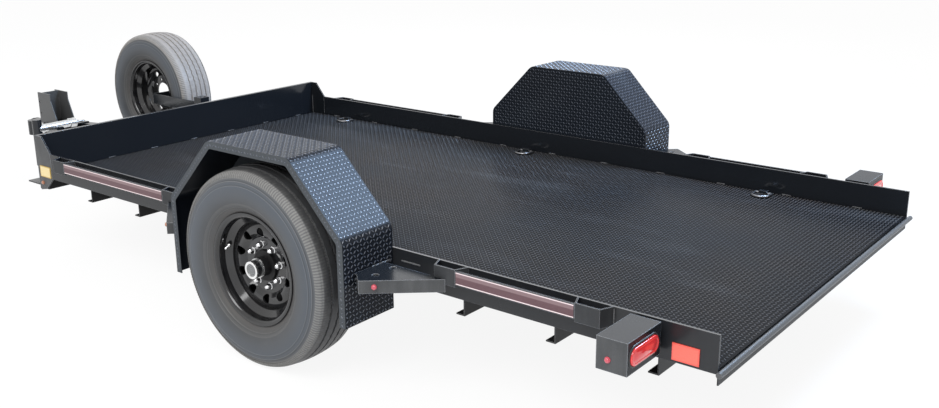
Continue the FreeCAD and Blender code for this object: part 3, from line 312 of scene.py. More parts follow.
class Finish(Maker):
    """A material for one finish, with the terms that its patterns need."""

    def __init__(self, name):
        self.material = bpy.data.materials.new(name)
        self.material.use_nodes = True
        self.material.node_tree.nodes.clear()
        super().__init__(self.material.node_tree)
        self.place = self.add("ShaderNodeTexCoord", output="Object")

    def noise(self, scale, detail=3.0, stretch=None):
        place = self.place
        if stretch is not None:
            place = self.add("ShaderNodeMapping", None, {"Vector": place, "Scale": stretch})
        return self.add("ShaderNodeTexNoise", None, {"Vector": place, "Scale": scale, "Detail": detail})

    def between(self, mask, first, second):
        """A colour from the first to the second as the mask goes from 0 to 1."""
        return self.add("ShaderNodeMix", {"data_type": "RGBA"},
                        {0: mask, 6: (*first, 1.0) if isinstance(first, tuple) else first,
                         7: (*second, 1.0) if isinstance(second, tuple) else second}, output=2)

    def ramp(self, value, low, high):
        """The value's way from low to high, held between 0 and 1."""
        return self.add("ShaderNodeMapRange", None, {0: value, 1: low, 2: high, 3: 0.0, 4: 1.0})

    def band(self, value, low, high, soft):
        """1 where the value lies between two ends, with soft edges."""
        return self.ramp(value, low - soft, low + soft) * (1.0 - self.ramp(value, high - soft, high + soft))

    def cells(self, scale):
        """How far a place lies from the nearest wall of a fine honeycomb."""
        return self.add("ShaderNodeTexVoronoi", {"feature": "DISTANCE_TO_EDGE"},
                        {"Vector": self.place, "Scale": scale})

    def axes(self):
        """The place's forward, left and up shares."""
        split = self.add("ShaderNodeSeparateXYZ", None, {0: self.place})
        return split, split.other("Y"), split.other("Z")

    def about(self, centre):
        """The place from a wheel's centre: forward, up and away from the axle, and its left share."""
        east, side, rise = self.axes()
        x = east - centre.x
        z = rise - centre.z
        return x, z, (x * x + z * z).root(), side

    def normal(self):
        return self.add("ShaderNodeNewGeometry", output="Normal")

    def outward(self, low, high):
        """How far the surface faces away from the trailer's middle line."""
        left = self.add("ShaderNodeSeparateXYZ", None, {0: self.normal()}).other("Y")
        side = self.axes()[1]
        return self.ramp(left * side / (side.absolute() + 0.001), low, high)

    def bump(self, height, distance, strength, base=None):
        inputs = {"Height": height, "Distance": distance, "Strength": strength}
        if base is not None:
            inputs["Normal"] = base
        return self.add("ShaderNodeBump", None, inputs)

    def coat(self, colour, roughness, metallic, normal, **constants):
        """The surface itself and the output node."""
        inputs = {"Base Color": colour, "Roughness": roughness, "Metallic": metallic, "Normal": normal}
        for name, value in constants.items():
            inputs[name.replace("_", " ")] = value
        surface = self.add("ShaderNodeBsdfPrincipled", None, inputs)
        self.add_output(surface)
        return self.material

    def add_output(self, surface):
        node = self.tree.nodes.new("ShaderNodeOutputMaterial")
        self.tree.links.new(surface.socket, node.inputs["Surface"])


def black_paint(name, colour, film_and_sheen, gloss, specular, edges=0.4, reach=EDGE_ROUND):
    """Black paint: orange peel and rounded edges; faces that look outwards are paler, partly from dust and
    partly from a painted sheen, and edges are lightened, partly as rubbed paint and partly as a painted
    highlight.
    """
    finish = Finish(name)
    outward = finish.outward(0.05, 0.5)
    rounded = finish.add("ShaderNodeBevel", {"samples": 4}, {"Radius": reach})
    across = finish.add("ShaderNodeVectorMath", {"operation": "DOT_PRODUCT"},
                        {0: rounded, 1: finish.normal()}, output=1)
    edge = finish.ramp(1.0 - across, 0.02, 0.2)
    clouds = finish.ramp(finish.noise(4.0, 4.0), 0.3, 0.75)
    runs = finish.ramp(finish.noise(26.0, 3.0, (1.0, 1.0, 0.12)), 0.45, 0.8)
    grains = finish.ramp(finish.noise(300.0, 2.0), 0.45, 0.8)
    dust = clouds * 0.35 + runs * 0.25 + grains * 0.15
    # Faces that look outwards are paler: partly dust, partly a painted sheen that stands for the ground's
    # reflection; dust also pales every face a little.
    shade = finish.between(outward * (0.45 + dust) + dust * 0.12, colour, film_and_sheen)
    # Edges are lightened: partly rubbed paint, partly a painted highlight along them.
    shade = finish.between(edge * edges, shade, (0.42, 0.43, 0.45))
    peel = finish.noise(420.0, 1.0)
    rough = gloss + clouds * 0.06 + outward * 0.1 + grains * 0.04
    return finish.coat(shade, rough, 0.0, finish.bump(peel, 0.00006, 0.5, rounded),
                       Specular_IOR_Level=specular)


def tread_paint(name, low, high, rubbed, gloss, specular, film_and_sheen=(0.0, 0.0, 0.0)):
    """Paint on tread plate: cloudy, with long polish marks, and a painted sheen added on faces that look
    outwards.
    """
    finish = Finish(name)
    outward = finish.outward(0.6, 0.9)
    clouds = finish.ramp(finish.noise(1.3, 3.0), 0.35, 0.65)
    marks = finish.ramp(finish.noise(2.6, 5.0, (0.5, 1.7, 1.0)), 0.56, 0.78)
    scratches = finish.ramp(finish.noise(9.0, 4.0, (0.16, 1.9, 1.0)), 0.66, 0.76)
    grains = finish.noise(330.0, 2.0)
    shade = finish.between(clouds, low, high)
    shade = finish.between(marks * 0.35 + scratches * 0.3 + grains * 0.12, shade, rubbed)
    # Painted sheen: faces that look outwards, such as the fender's lip, get a pale colour added for the
    # ground's reflection.
    shade = finish.add("ShaderNodeMix", {"data_type": "RGBA", "blend_type": "ADD"},
                       {0: outward * (0.6 + grains * 0.4), 6: shade, 7: (*film_and_sheen, 1.0)}, output=2)
    rough = gloss + clouds * 0.05 + grains * 0.08
    return finish.coat(shade, rough, 0.0, finish.bump(grains, 0.0001, 0.4), Specular_IOR_Level=specular)


def tyre_rubber(name, centre, tread, shoulder):
    """Grey-blue rubber: moulded rings with painted highlights, a shoulder pale from dust and a painted
    highlight, a tread of a given tone, and grooves darkened as painted shade.
    """
    finish = Finish(name)
    x, z, radius, side = finish.about(centre)
    out = (side.absolute() - abs(centre.y)).absolute()
    cloud = finish.ramp(finish.noise(9.0, 4.0), 0.3, 0.75)
    streak = finish.ramp(finish.noise(60.0, 3.0), 0.4, 0.75)
    grains = finish.noise(700.0, 2.0)
    place = finish.ramp(radius, 0.220, 0.360)
    # The sidewall's tones by radius, with painted highlights on the moulded rings and painted shade beside
    # them.
    shade = finish.add("ShaderNodeValToRGB", {"stops": SIDEWALL_TONES_AND_PAINTED_RING_LIGHT}, {0: place})
    shade = finish.between(cloud * 0.4, shade, (0.105, 0.110, 0.118))
    # Partly dust, partly painted highlight: the shoulder band is paled towards the shoulder colour, in
    # stripes at the rib pitch.
    ribs = finish.ramp((z.turn_with(x) * float(RIB_COUNT)).cosine(), -0.5, 0.3)
    edge = finish.band(radius, 0.3565, 0.3858, 0.0015)
    shade = finish.between(edge * (0.35 + ribs * 0.5 + streak * 0.15), shade, shoulder)
    # The tread's crown takes the tread colour: on the road tyres a dark one, painted shade under the
    # fenders; on the spare a pale one, dust.
    crown = finish.ramp(TREAD_HALF + 0.002 - out, 0.0, 0.004) * finish.ramp(radius, 0.379, 0.383)
    shade = finish.between(crown * (0.7 + streak * 0.3), shade, tread)
    # Painted shade: the groove bottoms are darkened.
    groove = (1.0 - finish.ramp(radius, 0.3765, 0.3805)) * (1.0 - finish.ramp(out, 0.064, 0.066))
    shade = finish.between(groove, shade, (0.014, 0.014, 0.015))
    return finish.coat(shade, 0.42 + cloud * 0.12, 0.0, finish.bump(grains, 0.0002, 0.5),
                       Specular_IOR_Level=0.4)


def rim_enamel():
    """Gloss black enamel with a brown-grey haze and small pale chips."""
    finish = Finish("rim_enamel")
    haze = finish.ramp(finish.noise(10.0, 3.0), 0.35, 0.75)
    chips = finish.ramp(finish.noise(150.0, 2.0), 0.74, 0.78)
    rounded = finish.add("ShaderNodeBevel", {"samples": 4}, {"Radius": 0.0016})
    shade = finish.between(haze, (0.009, 0.0095, 0.011), (0.020, 0.019, 0.019))
    shade = finish.between(chips * 0.5, shade, (0.16, 0.15, 0.14))
    peel = finish.bump(finish.noise(260.0, 1.0), 0.00005, 0.5, rounded)
    return finish.coat(shade, 0.07 + haze * 0.07, 0.0, peel, Specular_IOR_Level=0.7)


def drum_iron():
    finish = Finish("drum_iron")
    grains = finish.noise(160.0, 4.0)
    shade = finish.between(finish.ramp(grains, 0.4, 0.7), (0.006, 0.006, 0.007), (0.018, 0.017, 0.016))
    return finish.coat(shade, 0.4 + grains * 0.2, 0.0, finish.bump(grains, 0.0004, 0.5),
                       Specular_IOR_Level=0.25)


def bright_metal(name, colour, roughness, spread, scale):
    finish = Finish(name)
    cloud = finish.noise(scale, 4.0)
    shade = finish.between(finish.ramp(cloud, 0.35, 0.7), colour, tuple(c * 0.72 for c in colour))
    return finish.coat(shade, roughness + finish.ramp(cloud, 0.3, 0.8) * spread, 1.0,
                       finish.bump(cloud, 0.00012, 0.5))


def cap_chrome():
    """The hub cap: bright at its front and foot, a dark fluted side and a grey window with fine rings."""
    finish = Finish("cap_chrome")
    x, z, radius, side = finish.about(wheel_centre)
    reach = side.absolute() - wheel_centre.y
    barrel = finish.band(reach, *CAP_BARREL, 0.0006)
    flutes = (z.turn_with(x) * CAP_FLUTES).sine() * barrel
    window = (radius < CAP_WINDOW_RADIUS) * (reach > CAP_WINDOW_FACE)
    rings = (radius * (math.tau / CAP_RING_PITCH)).sine() * window
    cloud = finish.noise(120.0, 3.0)
    shade = finish.between(barrel, (0.86, 0.86, 0.85), (0.05, 0.052, 0.055))
    shade = finish.between(window, shade, (0.11, 0.115, 0.12))
    shade = finish.between(window * finish.ramp(rings, 0.2, 0.9), shade, (0.34, 0.34, 0.33))
    metal = 1.0 - window * 0.85
    return finish.coat(shade, 0.14 + cloud * 0.12 + window * 0.2, metal,
                       finish.bump(flutes + rings * 0.4, 0.0008, 0.6))


def black_rubber():
    finish = Finish("black_rubber")
    grains = finish.noise(500.0, 2.0)
    shade = finish.between(grains, (0.010, 0.010, 0.010), (0.022, 0.022, 0.022))
    return finish.coat(shade, 0.32 + grains * 0.2, 0.0, finish.bump(grains, 0.0002, 0.5),
                       Specular_IOR_Level=0.6)


def lamp_plastic(name, deep, bright, cell, painted_glow):
    """Coloured lens plastic with the small square prisms that are moulded behind its face."""
    finish = Finish(name)
    ridges = [(axis * (math.tau / cell)).sine() for axis in finish.axes()]
    prisms = (ridges[0] * 0.34 + ridges[1] * 0.33 + ridges[2] * 0.33) * 0.5 + 0.5
    cloud = finish.ramp(finish.noise(22.0, 2.0), 0.35, 0.65)
    shade = finish.between(prisms * 0.6 + cloud * 0.4, deep, bright)
    # Painted glow: the lens gives off a little light of its bright colour, standing for daylight in it.
    return finish.coat(shade, 0.1 + cloud * 0.06, 0.0, finish.bump(prisms, 0.0006, 0.5),
                       Emission_Color=(*bright, 1.0), Emission_Strength=painted_glow, Coat_Weight=0.8,
                       Coat_Roughness=0.04)


def reflector_plastic(name, node, face, frame_colour, painted_glow):
    """A flat reflector: a fine honeycomb face in a narrow frame."""
    finish = Finish(name)
    low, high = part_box(node)
    reach = [(high.x - low.x) / 2, (high.z - low.z) / 2]
    east, _, rise = finish.axes()
    away = (east - (low.x + high.x) / 2).absolute() - reach[0]
    level = (rise - (low.z + high.z) / 2).absolute() - reach[1]
    border = finish.ramp(away.highest(level), -0.0055, -0.004)
    cells = finish.cells(210.0)
    cloud = finish.noise(30.0, 2.0)
    cell_walls = finish.ramp(cells, 0.0, 0.2)
    shade = finish.between(cell_walls * 0.4 + cloud * 0.2, face, tuple(c * 0.8 for c in face))
    shade = finish.between(border, shade, frame_colour)
    # Painted glow: the face gives off a little light, standing for the light it sends back.
    return finish.coat(shade, 0.22 + cloud * 0.06, 0.0, finish.bump(cells, 0.0002, 0.4),
                       Emission_Color=(*face, 1.0), Emission_Strength=painted_glow, Coat_Weight=0.5,
                       Coat_Roughness=0.06)


def tape_finish(middle_height):
    """Marking tape: a maroon band with a fine honeycomb, between two pale lines that are painted highlights
    along the rail's top and bottom edges.
    """
    finish = Finish("marking_tape")
    rise = finish.axes()[2]
    offset = (rise - middle_height).absolute()
    cells = finish.cells(260.0)
    lines = finish.ramp(offset, TAPE_HEIGHT * 0.41, TAPE_HEIGHT * 0.425)
    cloud = finish.noise(14.0, 3.0, (0.4, 1.0, 3.0))
    shade = finish.between(cloud, (0.085, 0.035, 0.042), (0.140, 0.070, 0.080))
    shade = finish.between(finish.ramp(rise - middle_height, 0.004, 0.006), shade, (0.25, 0.165, 0.17))
    shade = finish.between(finish.ramp(cells, 0.0, 0.12) * 0.2, shade, (0.26, 0.17, 0.18))
    # Painted highlights: the pale lines near the tape's top and bottom edges.
    shade = finish.between(lines, shade, (0.90, 0.74, 0.74))
    return finish.coat(shade, 0.34 + cloud * 0.1, 0.0, finish.bump(cells, 0.0001, 0.3),
                       Specular_IOR_Level=0.4)


# Paints as colour, the colour of dust and painted sheen, gloss, specular, and where they differ the strength
# of the edges' lightening (rubbed paint and painted highlight) and their reach
PAINTS = {
    "black_paint": ((0.0110, 0.0130, 0.0165), (0.022, 0.023, 0.025), 0.10, 0.42),
    "outer_paint": ((0.009, 0.011, 0.014), (0.120, 0.121, 0.121), 0.22, 0.14, 0.9, 0.0042),
    "pocket_paint": ((0.006, 0.007, 0.010), (0.068, 0.070, 0.072), 0.22, 0.12, 0.8, 0.003),
    "post_paint": ((0.085, 0.086, 0.087), (0.12, 0.12, 0.12), 0.30, 0.25),
    "frame_paint": ((0.012, 0.012, 0.013), (0.045, 0.044, 0.042), 0.32, 0.20),
    # The welds' paint is paler than the black: a painted glint on the beads.
    "weld_paint": ((0.055, 0.057, 0.062), (0.11, 0.11, 0.11), 0.16, 0.6),
}

# Tread plate as two cloud colours, the rubbed colour, gloss, specular and the colour of the painted sheen on
# outward faces
TREADS = {
    "deck_tread": ((0.0046, 0.0044, 0.0046), (0.0042, 0.0047, 0.0058), (0.038, 0.041, 0.048), 0.22, 0.016),
    # The lugs' crowns are far lighter than the plate: partly rubbed paint, partly painted glints.
    "deck_crowns": ((0.072, 0.065, 0.063), (0.058, 0.063, 0.072), (0.17, 0.175, 0.18), 0.26, 0.09),
    # The fender's colours, its crowns most, are bluer than the deck's: a painted reflection of the sky.
    "fender_tread": ((0.008, 0.009, 0.012), (0.009, 0.012, 0.018), (0.04, 0.05, 0.06), 0.26, 0.09,
                     (0.075, 0.080, 0.082)),
    "fender_crowns": ((0.056, 0.062, 0.076), (0.066, 0.078, 0.104), (0.18, 0.20, 0.23), 0.20, 0.55,
                      (0.05, 0.05, 0.05)),
}

# Bright metals as colour, roughness, its spread and the scale of its clouds
METALS = {
    "zinc_plate": ((0.80, 0.81, 0.82), 0.22, 0.18, 55.0),
    "ring_steel": ((0.26, 0.26, 0.27), 0.24, 0.2, 70.0),
    "nut_chrome": ((0.90, 0.90, 0.91), 0.10, 0.10, 200.0),
}

# Lenses as deep and bright colour, the size of a prism and the strength of a painted glow
LENSES = {
    "red_lens": ((0.50, 0.008, 0.012), (0.90, 0.05, 0.05), 0.0075, 0.12),
    "red_marker": ((0.42, 0.02, 0.04), (0.75, 0.12, 0.16), 0.004, 0.05),
    "amber_lens": ((0.22, 0.07, 0.03), (0.62, 0.27, 0.14), 0.004, 0.03),
}

# Reflectors as the node, the colours of face and frame, and the strength of a painted glow
REFLECTORS = {
    "red_reflector": ("red_reflectors", (0.95, 0.15, 0.10), (0.86, 0.10, 0.07), 0.12),
    "amber_reflector": ("amber_reflectors", (0.86, 0.68, 0.31), (0.55, 0.36, 0.07), 0.06),
}

FINISHES = {
    **{name: black_paint(name, *values) for name, values in PAINTS.items()},
    **{name: tread_paint(name, *values) for name, values in TREADS.items()},
    # The road tyres' dark tread is painted shade under the fenders, the spare's pale tread is dust, and the
    # shoulders' pale colour is partly dust and partly a painted highlight.
    "tyre_rubber": tyre_rubber("tyre_rubber", wheel_centre, (0.045, 0.045, 0.047), (0.25, 0.245, 0.235)),
    "spare_rubber": tyre_rubber("spare_rubber", spare_centre, (0.39, 0.36, 0.34), (0.42, 0.40, 0.38)),
    "rim_paint": rim_enamel(),
    "cast_drum": drum_iron(),
    "cap_chrome": cap_chrome(),
    **{name: bright_metal(name, *values) for name, values in METALS.items()},
    "black_rubber": black_rubber(),
    **{name: lamp_plastic(name, *values) for name, values in LENSES.items()},
    **{name: reflector_plastic(name, *values) for name, values in REFLECTORS.items()},
}

NODE_FINISHES = {
    "deck_tread": ["deck_plate"],
    "fender_tread": ["fender_left", "fender_right", "fender_panels"],
    "spare_rubber": ["spare_tyre"],
    "tyre_rubber": ["tyre_left", "tyre_right"],
    "rim_paint": ["rim_left", "rim_right", "spare_rim"],
    "cast_drum": ["hub_left", "hub_right"],
    "cap_chrome": ["hub_cap_left", "hub_cap_right"],
    "zinc_plate": ["jack_pipe", "pivot_pins"],
    "ring_steel": ["ring_rear_left", "ring_rear_right", "ring_middle_left", "ring_middle_right",
                   "ring_front_left", "ring_front_right"],
    "post_paint": ["coupler_post", "rear_rod"],
    "black_rubber": ["lamp_grommets"],
    "red_lens": ["tail_lamps", "red_markers"],
    "amber_lens": ["amber_markers"],
    "red_reflector": ["red_reflectors"],
    "amber_reflector": ["amber_reflectors"],
    "pocket_paint": ["stake_pockets_left", "stake_pockets_right", "rub_rails"],
    "outer_paint": ["end_plates", "fender_braces", "tail_boxes"],
    "frame_paint": ["chassis_rail_left", "chassis_rail_right", "chassis_cross_tubes", "deck_cross_members",
                    "axle_tube", "torsion_arms", "axle_brackets", "rest_pads", "rear_angle"],
}


def dress_nodes():
    """Give every node of the frame its finish; what isn't named has the black paint."""
    chosen = {node: name for name, group in NODE_FINISHES.items() for node in group}
    for node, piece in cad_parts.items():
        piece.data.materials.clear()
        piece.data.materials.append(FINISHES[chosen.get(node, "black_paint")])


# Ways of making a piece


def keep(name, mesh, body, finish):
    """A finished mesh becomes a piece that rides on a body."""
    mesh.name = name
    piece = bpy.data.objects.new(name, mesh)
    bpy.context.scene.collection.objects.link(piece)
    mesh.materials.clear()
    mesh.materials.append(FINISHES[finish] if isinstance(finish, str) else finish)
    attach(piece, body)
    return piece


def mesh_from(work, smooth=True):
    """A mesh from a finished bmesh, with its faces turned outwards."""
    bmesh.ops.remove_doubles(work, verts=work.verts, dist=1e-6)
    bmesh.ops.recalc_face_normals(work, faces=work.faces)
    for face in work.faces:
        face.smooth = smooth
    mesh = bpy.data.meshes.new("piece")
    work.to_mesh(mesh)
    work.free()
    return mesh


def band_faces(work, low, high):
    """Quads between two closed rings of vertices."""
    for index in range(len(low)):
        after = (index + 1) % len(low)
        work.faces.new((low[index], low[after], high[after], high[index]))


def turned_section(work, section, segments, matrix, wave=None):
    """Turn a closed section of (radius, side) about local Y; wave moves a point's side by its turn."""
    rings = []
    for step in range(segments):
        turn = math.tau * step / segments
        ring = []
        for radius, side in section:
            shift = wave(radius, side, step) if wave else 0.0
            spot = Vector((radius * math.cos(turn), side + shift, radius * math.sin(turn)))
            ring.append(work.verts.new(matrix @ spot))
        rings.append(ring)
    for step in range(segments):
        band_faces(work, rings[step], rings[(step + 1) % segments])


def smooth_by_angle(mesh, degrees):
    """Keep edges sharper than the angle crisp."""
    mesh.shade_smooth()
    work = bmesh.new()
    work.from_mesh(mesh)
    limit = math.radians(degrees)
    for edge in work.edges:
        edge.smooth = len(edge.link_faces) == 2 and edge.calc_face_angle(0.0) < limit
    work.to_mesh(mesh)
    work.free()
    return mesh


def joined(meshes):
    """Several meshes as one."""
    work = bmesh.new()
    for mesh in meshes:
        work.from_mesh(mesh)
        bpy.data.meshes.remove(mesh)
    result = bpy.data.meshes.new("piece")
    work.to_mesh(result)
    work.free()
    return result


# Geometry trees


class Tree(Maker):
    """A geometry tree with named inputs for its sizes."""

    def __init__(self, name, sizes):
        super().__init__(bpy.data.node_groups.new(name, "GeometryNodeTree"))
        face = self.tree.interface
        face.new_socket(name="Geometry", in_out="OUTPUT", socket_type="NodeSocketGeometry")
        self.names = {}
        for label, kind in {"Geometry": "Geometry", **sizes}.items():
            socket = face.new_socket(name=label, in_out="INPUT", socket_type="NodeSocket" + kind)
            self.names[label] = socket.identifier
        self.given = self.tree.nodes.new("NodeGroupInput")

    def size(self, label):
        return Term(self, self.given.outputs[label])

    def vector(self, operation, first, second):
        inputs = {0: first, 3 if operation == "SCALE" else 1: second}
        return self.add("ShaderNodeVectorMath", {"operation": operation}, inputs)

    def turned(self, way, angle):
        """A rotation, turned further about its own Z."""
        turn = self.add("FunctionNodeAxisAngleToRotation", None, {"Axis": (0.0, 0.0, 1.0), "Angle": angle})
        return self.add("FunctionNodeRotateRotation", {"rotation_space": "LOCAL"},
                        {"Rotation": way, "Rotate By": turn})

    def end(self, geometry):
        """Realize the instances, set the finish and close the tree."""
        real = self.add("GeometryNodeRealizeInstances", None, {"Geometry": geometry})
        done = self.add("GeometryNodeSetMaterial", None, {"Geometry": real, "Material": self.size("Finish")})
        out = self.tree.nodes.new("NodeGroupOutput")
        self.tree.links.new(done.socket, out.inputs[0])

    def run(self, source, **sizes):
        """The plain mesh that the tree makes from a source object, which is removed."""
        bpy.context.scene.collection.objects.link(source)
        modifier = source.modifiers.new("Make", "NODES")
        modifier.node_group = self.tree
        for label, value in sizes.items():
            modifier[self.names[label]] = value
        bpy.context.view_layer.update()
        ready = source.evaluated_get(bpy.context.evaluated_depsgraph_get())
        mesh = bpy.data.meshes.new_from_object(ready)
        source.modifiers.remove(modifier)
        bpy.data.objects.remove(source)
        return mesh


def line_source(*lines):
    """Poly lines through points, as the source of a tree."""
    curve = bpy.data.curves.new("line", "CURVE")
    curve.dimensions = "3D"
    for points in lines:
        spline = curve.splines.new("POLY")
        spline.points.add(len(points) - 1)
        for spot, point in zip(spline.points, points):
            spot.co = (*point, 1.0)
    return bpy.data.objects.new("line", curve)


def spot_source(spots):
    """Loose points, as the source of a tree."""
    mesh = bpy.data.meshes.new("spots")
    mesh.from_pydata([tuple(spot) for spot in spots], [], [])
    return bpy.data.objects.new("spots", mesh)


def make_lug_tree():
    """Tread plate lugs in a checker of slants, laid along a line and across it, kept where the plate is."""
    tree = Tree("tread_lugs", {
        "Plate": "Object", "Across": "Vector", "Flat": "Bool",
        "Pitch": "Float", "Columns": "Int", "Rows": "Int",
        "Lug Length": "Float", "Lug Width": "Float", "Lug Height": "Float", "Lug Root": "Float",
        "Reach": "Float", "Finish": "Material"})
    pitch = tree.size("Pitch")
    rows = tree.size("Rows")
    points = tree.add("GeometryNodeMeshGrid", None,
                      {"Vertices X": tree.size("Columns"), "Vertices Y": rows, "Size X": 1.0, "Size Y": 1.0})
    index = tree.add("GeometryNodeInputIndex")
    column = (index / rows + 0.0001).floor()
    row = index - column * rows
    along = (column + 0.5) * pitch
    aside = (row - (rows - 1.0) * 0.5) * pitch
    sample = tree.add("GeometryNodeSampleCurve", {"mode": "LENGTH", "use_all_curves": True},
                      {"Curves": tree.size("Geometry"), "Length": along}, output="Position")
    tangent = sample.other("Tangent")
    hint = tree.size("Across")
    flat = tree.size("Flat")
    across = tree.add("GeometryNodeSwitch", {"input_type": "VECTOR"},
                      {"Switch": flat, "False": hint, "True": tree.vector("CROSS_PRODUCT", hint, tangent)})
    normal = tree.add("GeometryNodeSwitch", {"input_type": "VECTOR"},
                      {"Switch": flat, "False": tree.vector("CROSS_PRODUCT", tangent, hint), "True": hint})
    spot = tree.vector("ADD", sample, tree.vector("SCALE", across, aside))
    placed = tree.add("GeometryNodeSetPosition", None, {"Geometry": points, "Position": spot})
    slant = tree.add("GeometryNodeSwitch", {"input_type": "FLOAT"},
                     {"Switch": (column + row) % 2.0 > 0.5, "False": math.pi / 4, "True": -math.pi / 4})
    way = tree.add("FunctionNodeAxesToRotation", {"primary_axis": "Z", "secondary_axis": "X"},
                   {"Primary Axis": normal, "Secondary Axis": tangent})
    way = tree.turned(way, slant)
    half = tree.add("ShaderNodeCombineXYZ", None, {0: tree.size("Lug Length") * 0.5})
    reach = tree.add("FunctionNodeRotateVector", None, {"Vector": half, "Rotation": way})
    plate = tree.add("GeometryNodeObjectInfo", None, {"Object": tree.size("Plate")}, output="Geometry")
    gaps = []
    for end in (tree.vector("ADD", spot, reach), tree.vector("SUBTRACT", spot, reach)):
        gaps.append(tree.add("GeometryNodeProximity", {"target_element": "FACES"},
                             {0: plate, "Sample Position": end}, output="Distance"))
    lost = gaps[0].highest(gaps[1]) > tree.size("Reach")
    stored = tree.add("GeometryNodeStoreNamedAttribute", {"data_type": "QUATERNION", "domain": "POINT"},
                      {"Geometry": placed, "Name": "way", "Value": way})
    left = tree.add("GeometryNodeDeleteGeometry", {"domain": "POINT"},
                    {"Geometry": stored, "Selection": lost})
    height = tree.size("Lug Height") + tree.size("Lug Root")
    lug = tree.add("GeometryNodeMeshCone", {"fill_type": "NGON"},
                   {"Vertices": 4, "Radius Top": 0.22, "Radius Bottom": 0.5, "Depth": 1.0}, output="Mesh")
    scale = tree.add("ShaderNodeCombineXYZ", None,
                     {0: tree.size("Lug Length"), 1: tree.size("Lug Width"), 2: height})
    drop = tree.add("ShaderNodeCombineXYZ", None, {2: tree.size("Lug Root") * -1.0})
    lug = tree.add("GeometryNodeTransform", None, {"Geometry": lug, "Scale": scale, "Translation": drop})
    kept_way = tree.add("GeometryNodeInputNamedAttribute", {"data_type": "QUATERNION"}, {"Name": "way"})
    lugs = tree.add("GeometryNodeInstanceOnPoints", None,
                    {"Points": left, "Instance": lug, "Rotation": kept_way})
    tree.end(lugs)
    return tree


def make_weld_tree():
    """A row of overlapping beads along each line."""
    tree = Tree("weld_beads", {"Pitch": "Float", "Bead Width": "Float", "Seed": "Int", "Finish": "Material"})
    spots = tree.add("GeometryNodeCurveToPoints", {"mode": "LENGTH"},
                     {"Curve": tree.size("Geometry"), "Length": tree.size("Pitch")})
    bead = tree.add("GeometryNodeMeshUVSphere", None, {"Segments": 8, "Rings": 5, "Radius": 0.5})
    stretch = tree.add("FunctionNodeRandomValue", {"data_type": "FLOAT_VECTOR"},
                       {"Min": (0.75, 0.85, 0.8), "Max": (0.95, 1.15, 1.15), "Seed": tree.size("Seed")})
    spin = tree.add("FunctionNodeRandomValue", {"data_type": "FLOAT_VECTOR"},
                    {"Min": (0.0, 0.0, 0.0), "Max": (0.6, 0.6, math.tau), "Seed": tree.size("Seed")})
    beads = tree.add("GeometryNodeInstanceOnPoints", None, {
        "Points": spots, "Instance": bead, "Rotation": spin,
        "Scale": tree.vector("SCALE", stretch, tree.size("Bead Width"))})
    beads = tree.add("GeometryNodeSetShadeSmooth", None, {"Geometry": beads})
    tree.end(beads)
    return tree


def make_fixing_tree():
    """A nut or bolt head at each point, pointing one way and turned at random."""
    tree = Tree("fixings", {"Fixing": "Object", "Facing": "Vector", "Seed": "Int", "Finish": "Material"})
    fixing = tree.add("GeometryNodeObjectInfo", None, {"Object": tree.size("Fixing")}, output="Geometry")
    way = tree.add("FunctionNodeAlignRotationToVector", {"axis": "Z"}, {"Vector": tree.size("Facing")})
    turn = tree.add("FunctionNodeRandomValue", {"data_type": "FLOAT"},
                    {2: 0.0, 3: math.pi / 3, "Seed": tree.size("Seed")}, output=1)
    fixings = tree.add("GeometryNodeInstanceOnPoints", None, {
        "Points": tree.size("Geometry"), "Instance": fixing, "Rotation": tree.turned(way, turn)})
    tree.end(fixings)
    return tree


def make_rib_tree():
    """Short ribs set round a circle about the Y axis: the moulded shoulder of a tyre."""
    tree = Tree("shoulder_ribs", {"Count": "Int", "Radius": "Float", "Side": "Float", "Rib Width": "Float",
                                  "Rib Length": "Float", "Rib Height": "Float", "Lean": "Float",
                                  "Centre": "Vector", "Finish": "Material"})
    circle = tree.add("GeometryNodeMeshCircle", None,
                      {"Vertices": tree.size("Count"), "Radius": tree.size("Radius")})
    index = tree.add("GeometryNodeInputIndex")
    turn = index * math.tau / tree.size("Count")
    rib = tree.add("GeometryNodeMeshCube", None, {"Size": tree.add(
        "ShaderNodeCombineXYZ", None,
        {0: tree.size("Rib Height"), 1: tree.size("Rib Width"), 2: tree.size("Rib Length")})}, output="Mesh")
    lean = tree.add("ShaderNodeCombineXYZ", None, {1: tree.size("Lean")})
    rib = tree.add("GeometryNodeTransform", None, {"Geometry": rib, "Rotation": lean})
    way = tree.add("ShaderNodeCombineXYZ", None, {2: turn})
    ribs = tree.add("GeometryNodeInstanceOnPoints", None,
                    {"Points": circle, "Instance": rib, "Rotation": way})
    side = tree.add("ShaderNodeCombineXYZ", None, {1: tree.size("Side")})
    ribs = tree.add("GeometryNodeTransform", None,
                    {"Geometry": ribs, "Rotation": (-math.pi / 2, 0.0, 0.0),
                     "Translation": tree.vector("ADD", tree.size("Centre"), side)})
    tree.end(ribs)
    return tree


LUGS = make_lug_tree()
WELDS = make_weld_tree()
FIXINGS = make_fixing_tree()
RIBS = make_rib_tree()


# Tread plate


def lug_mesh(plate, points, width, across, finish, flat=False, reach=BENT_REACH):
    """The lugs of one plate, along a line of points and across a width."""
    length = sum((Vector(b) - Vector(a)).length for a, b in zip(points, points[1:]))
    return LUGS.run(line_source(points), **{
        "Plate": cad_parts[plate], "Across": across, "Flat": flat, "Pitch": LUG_PITCH,
        "Columns": int(length / LUG_PITCH), "Rows": max(1, int(width / LUG_PITCH)),
        "Lug Length": LUG_LENGTH, "Lug Width": LUG_WIDTH, "Lug Height": LUG_HEIGHT, "Lug Root": LUG_ROOT,
        "Reach": reach, "Finish": FINISHES[finish]})


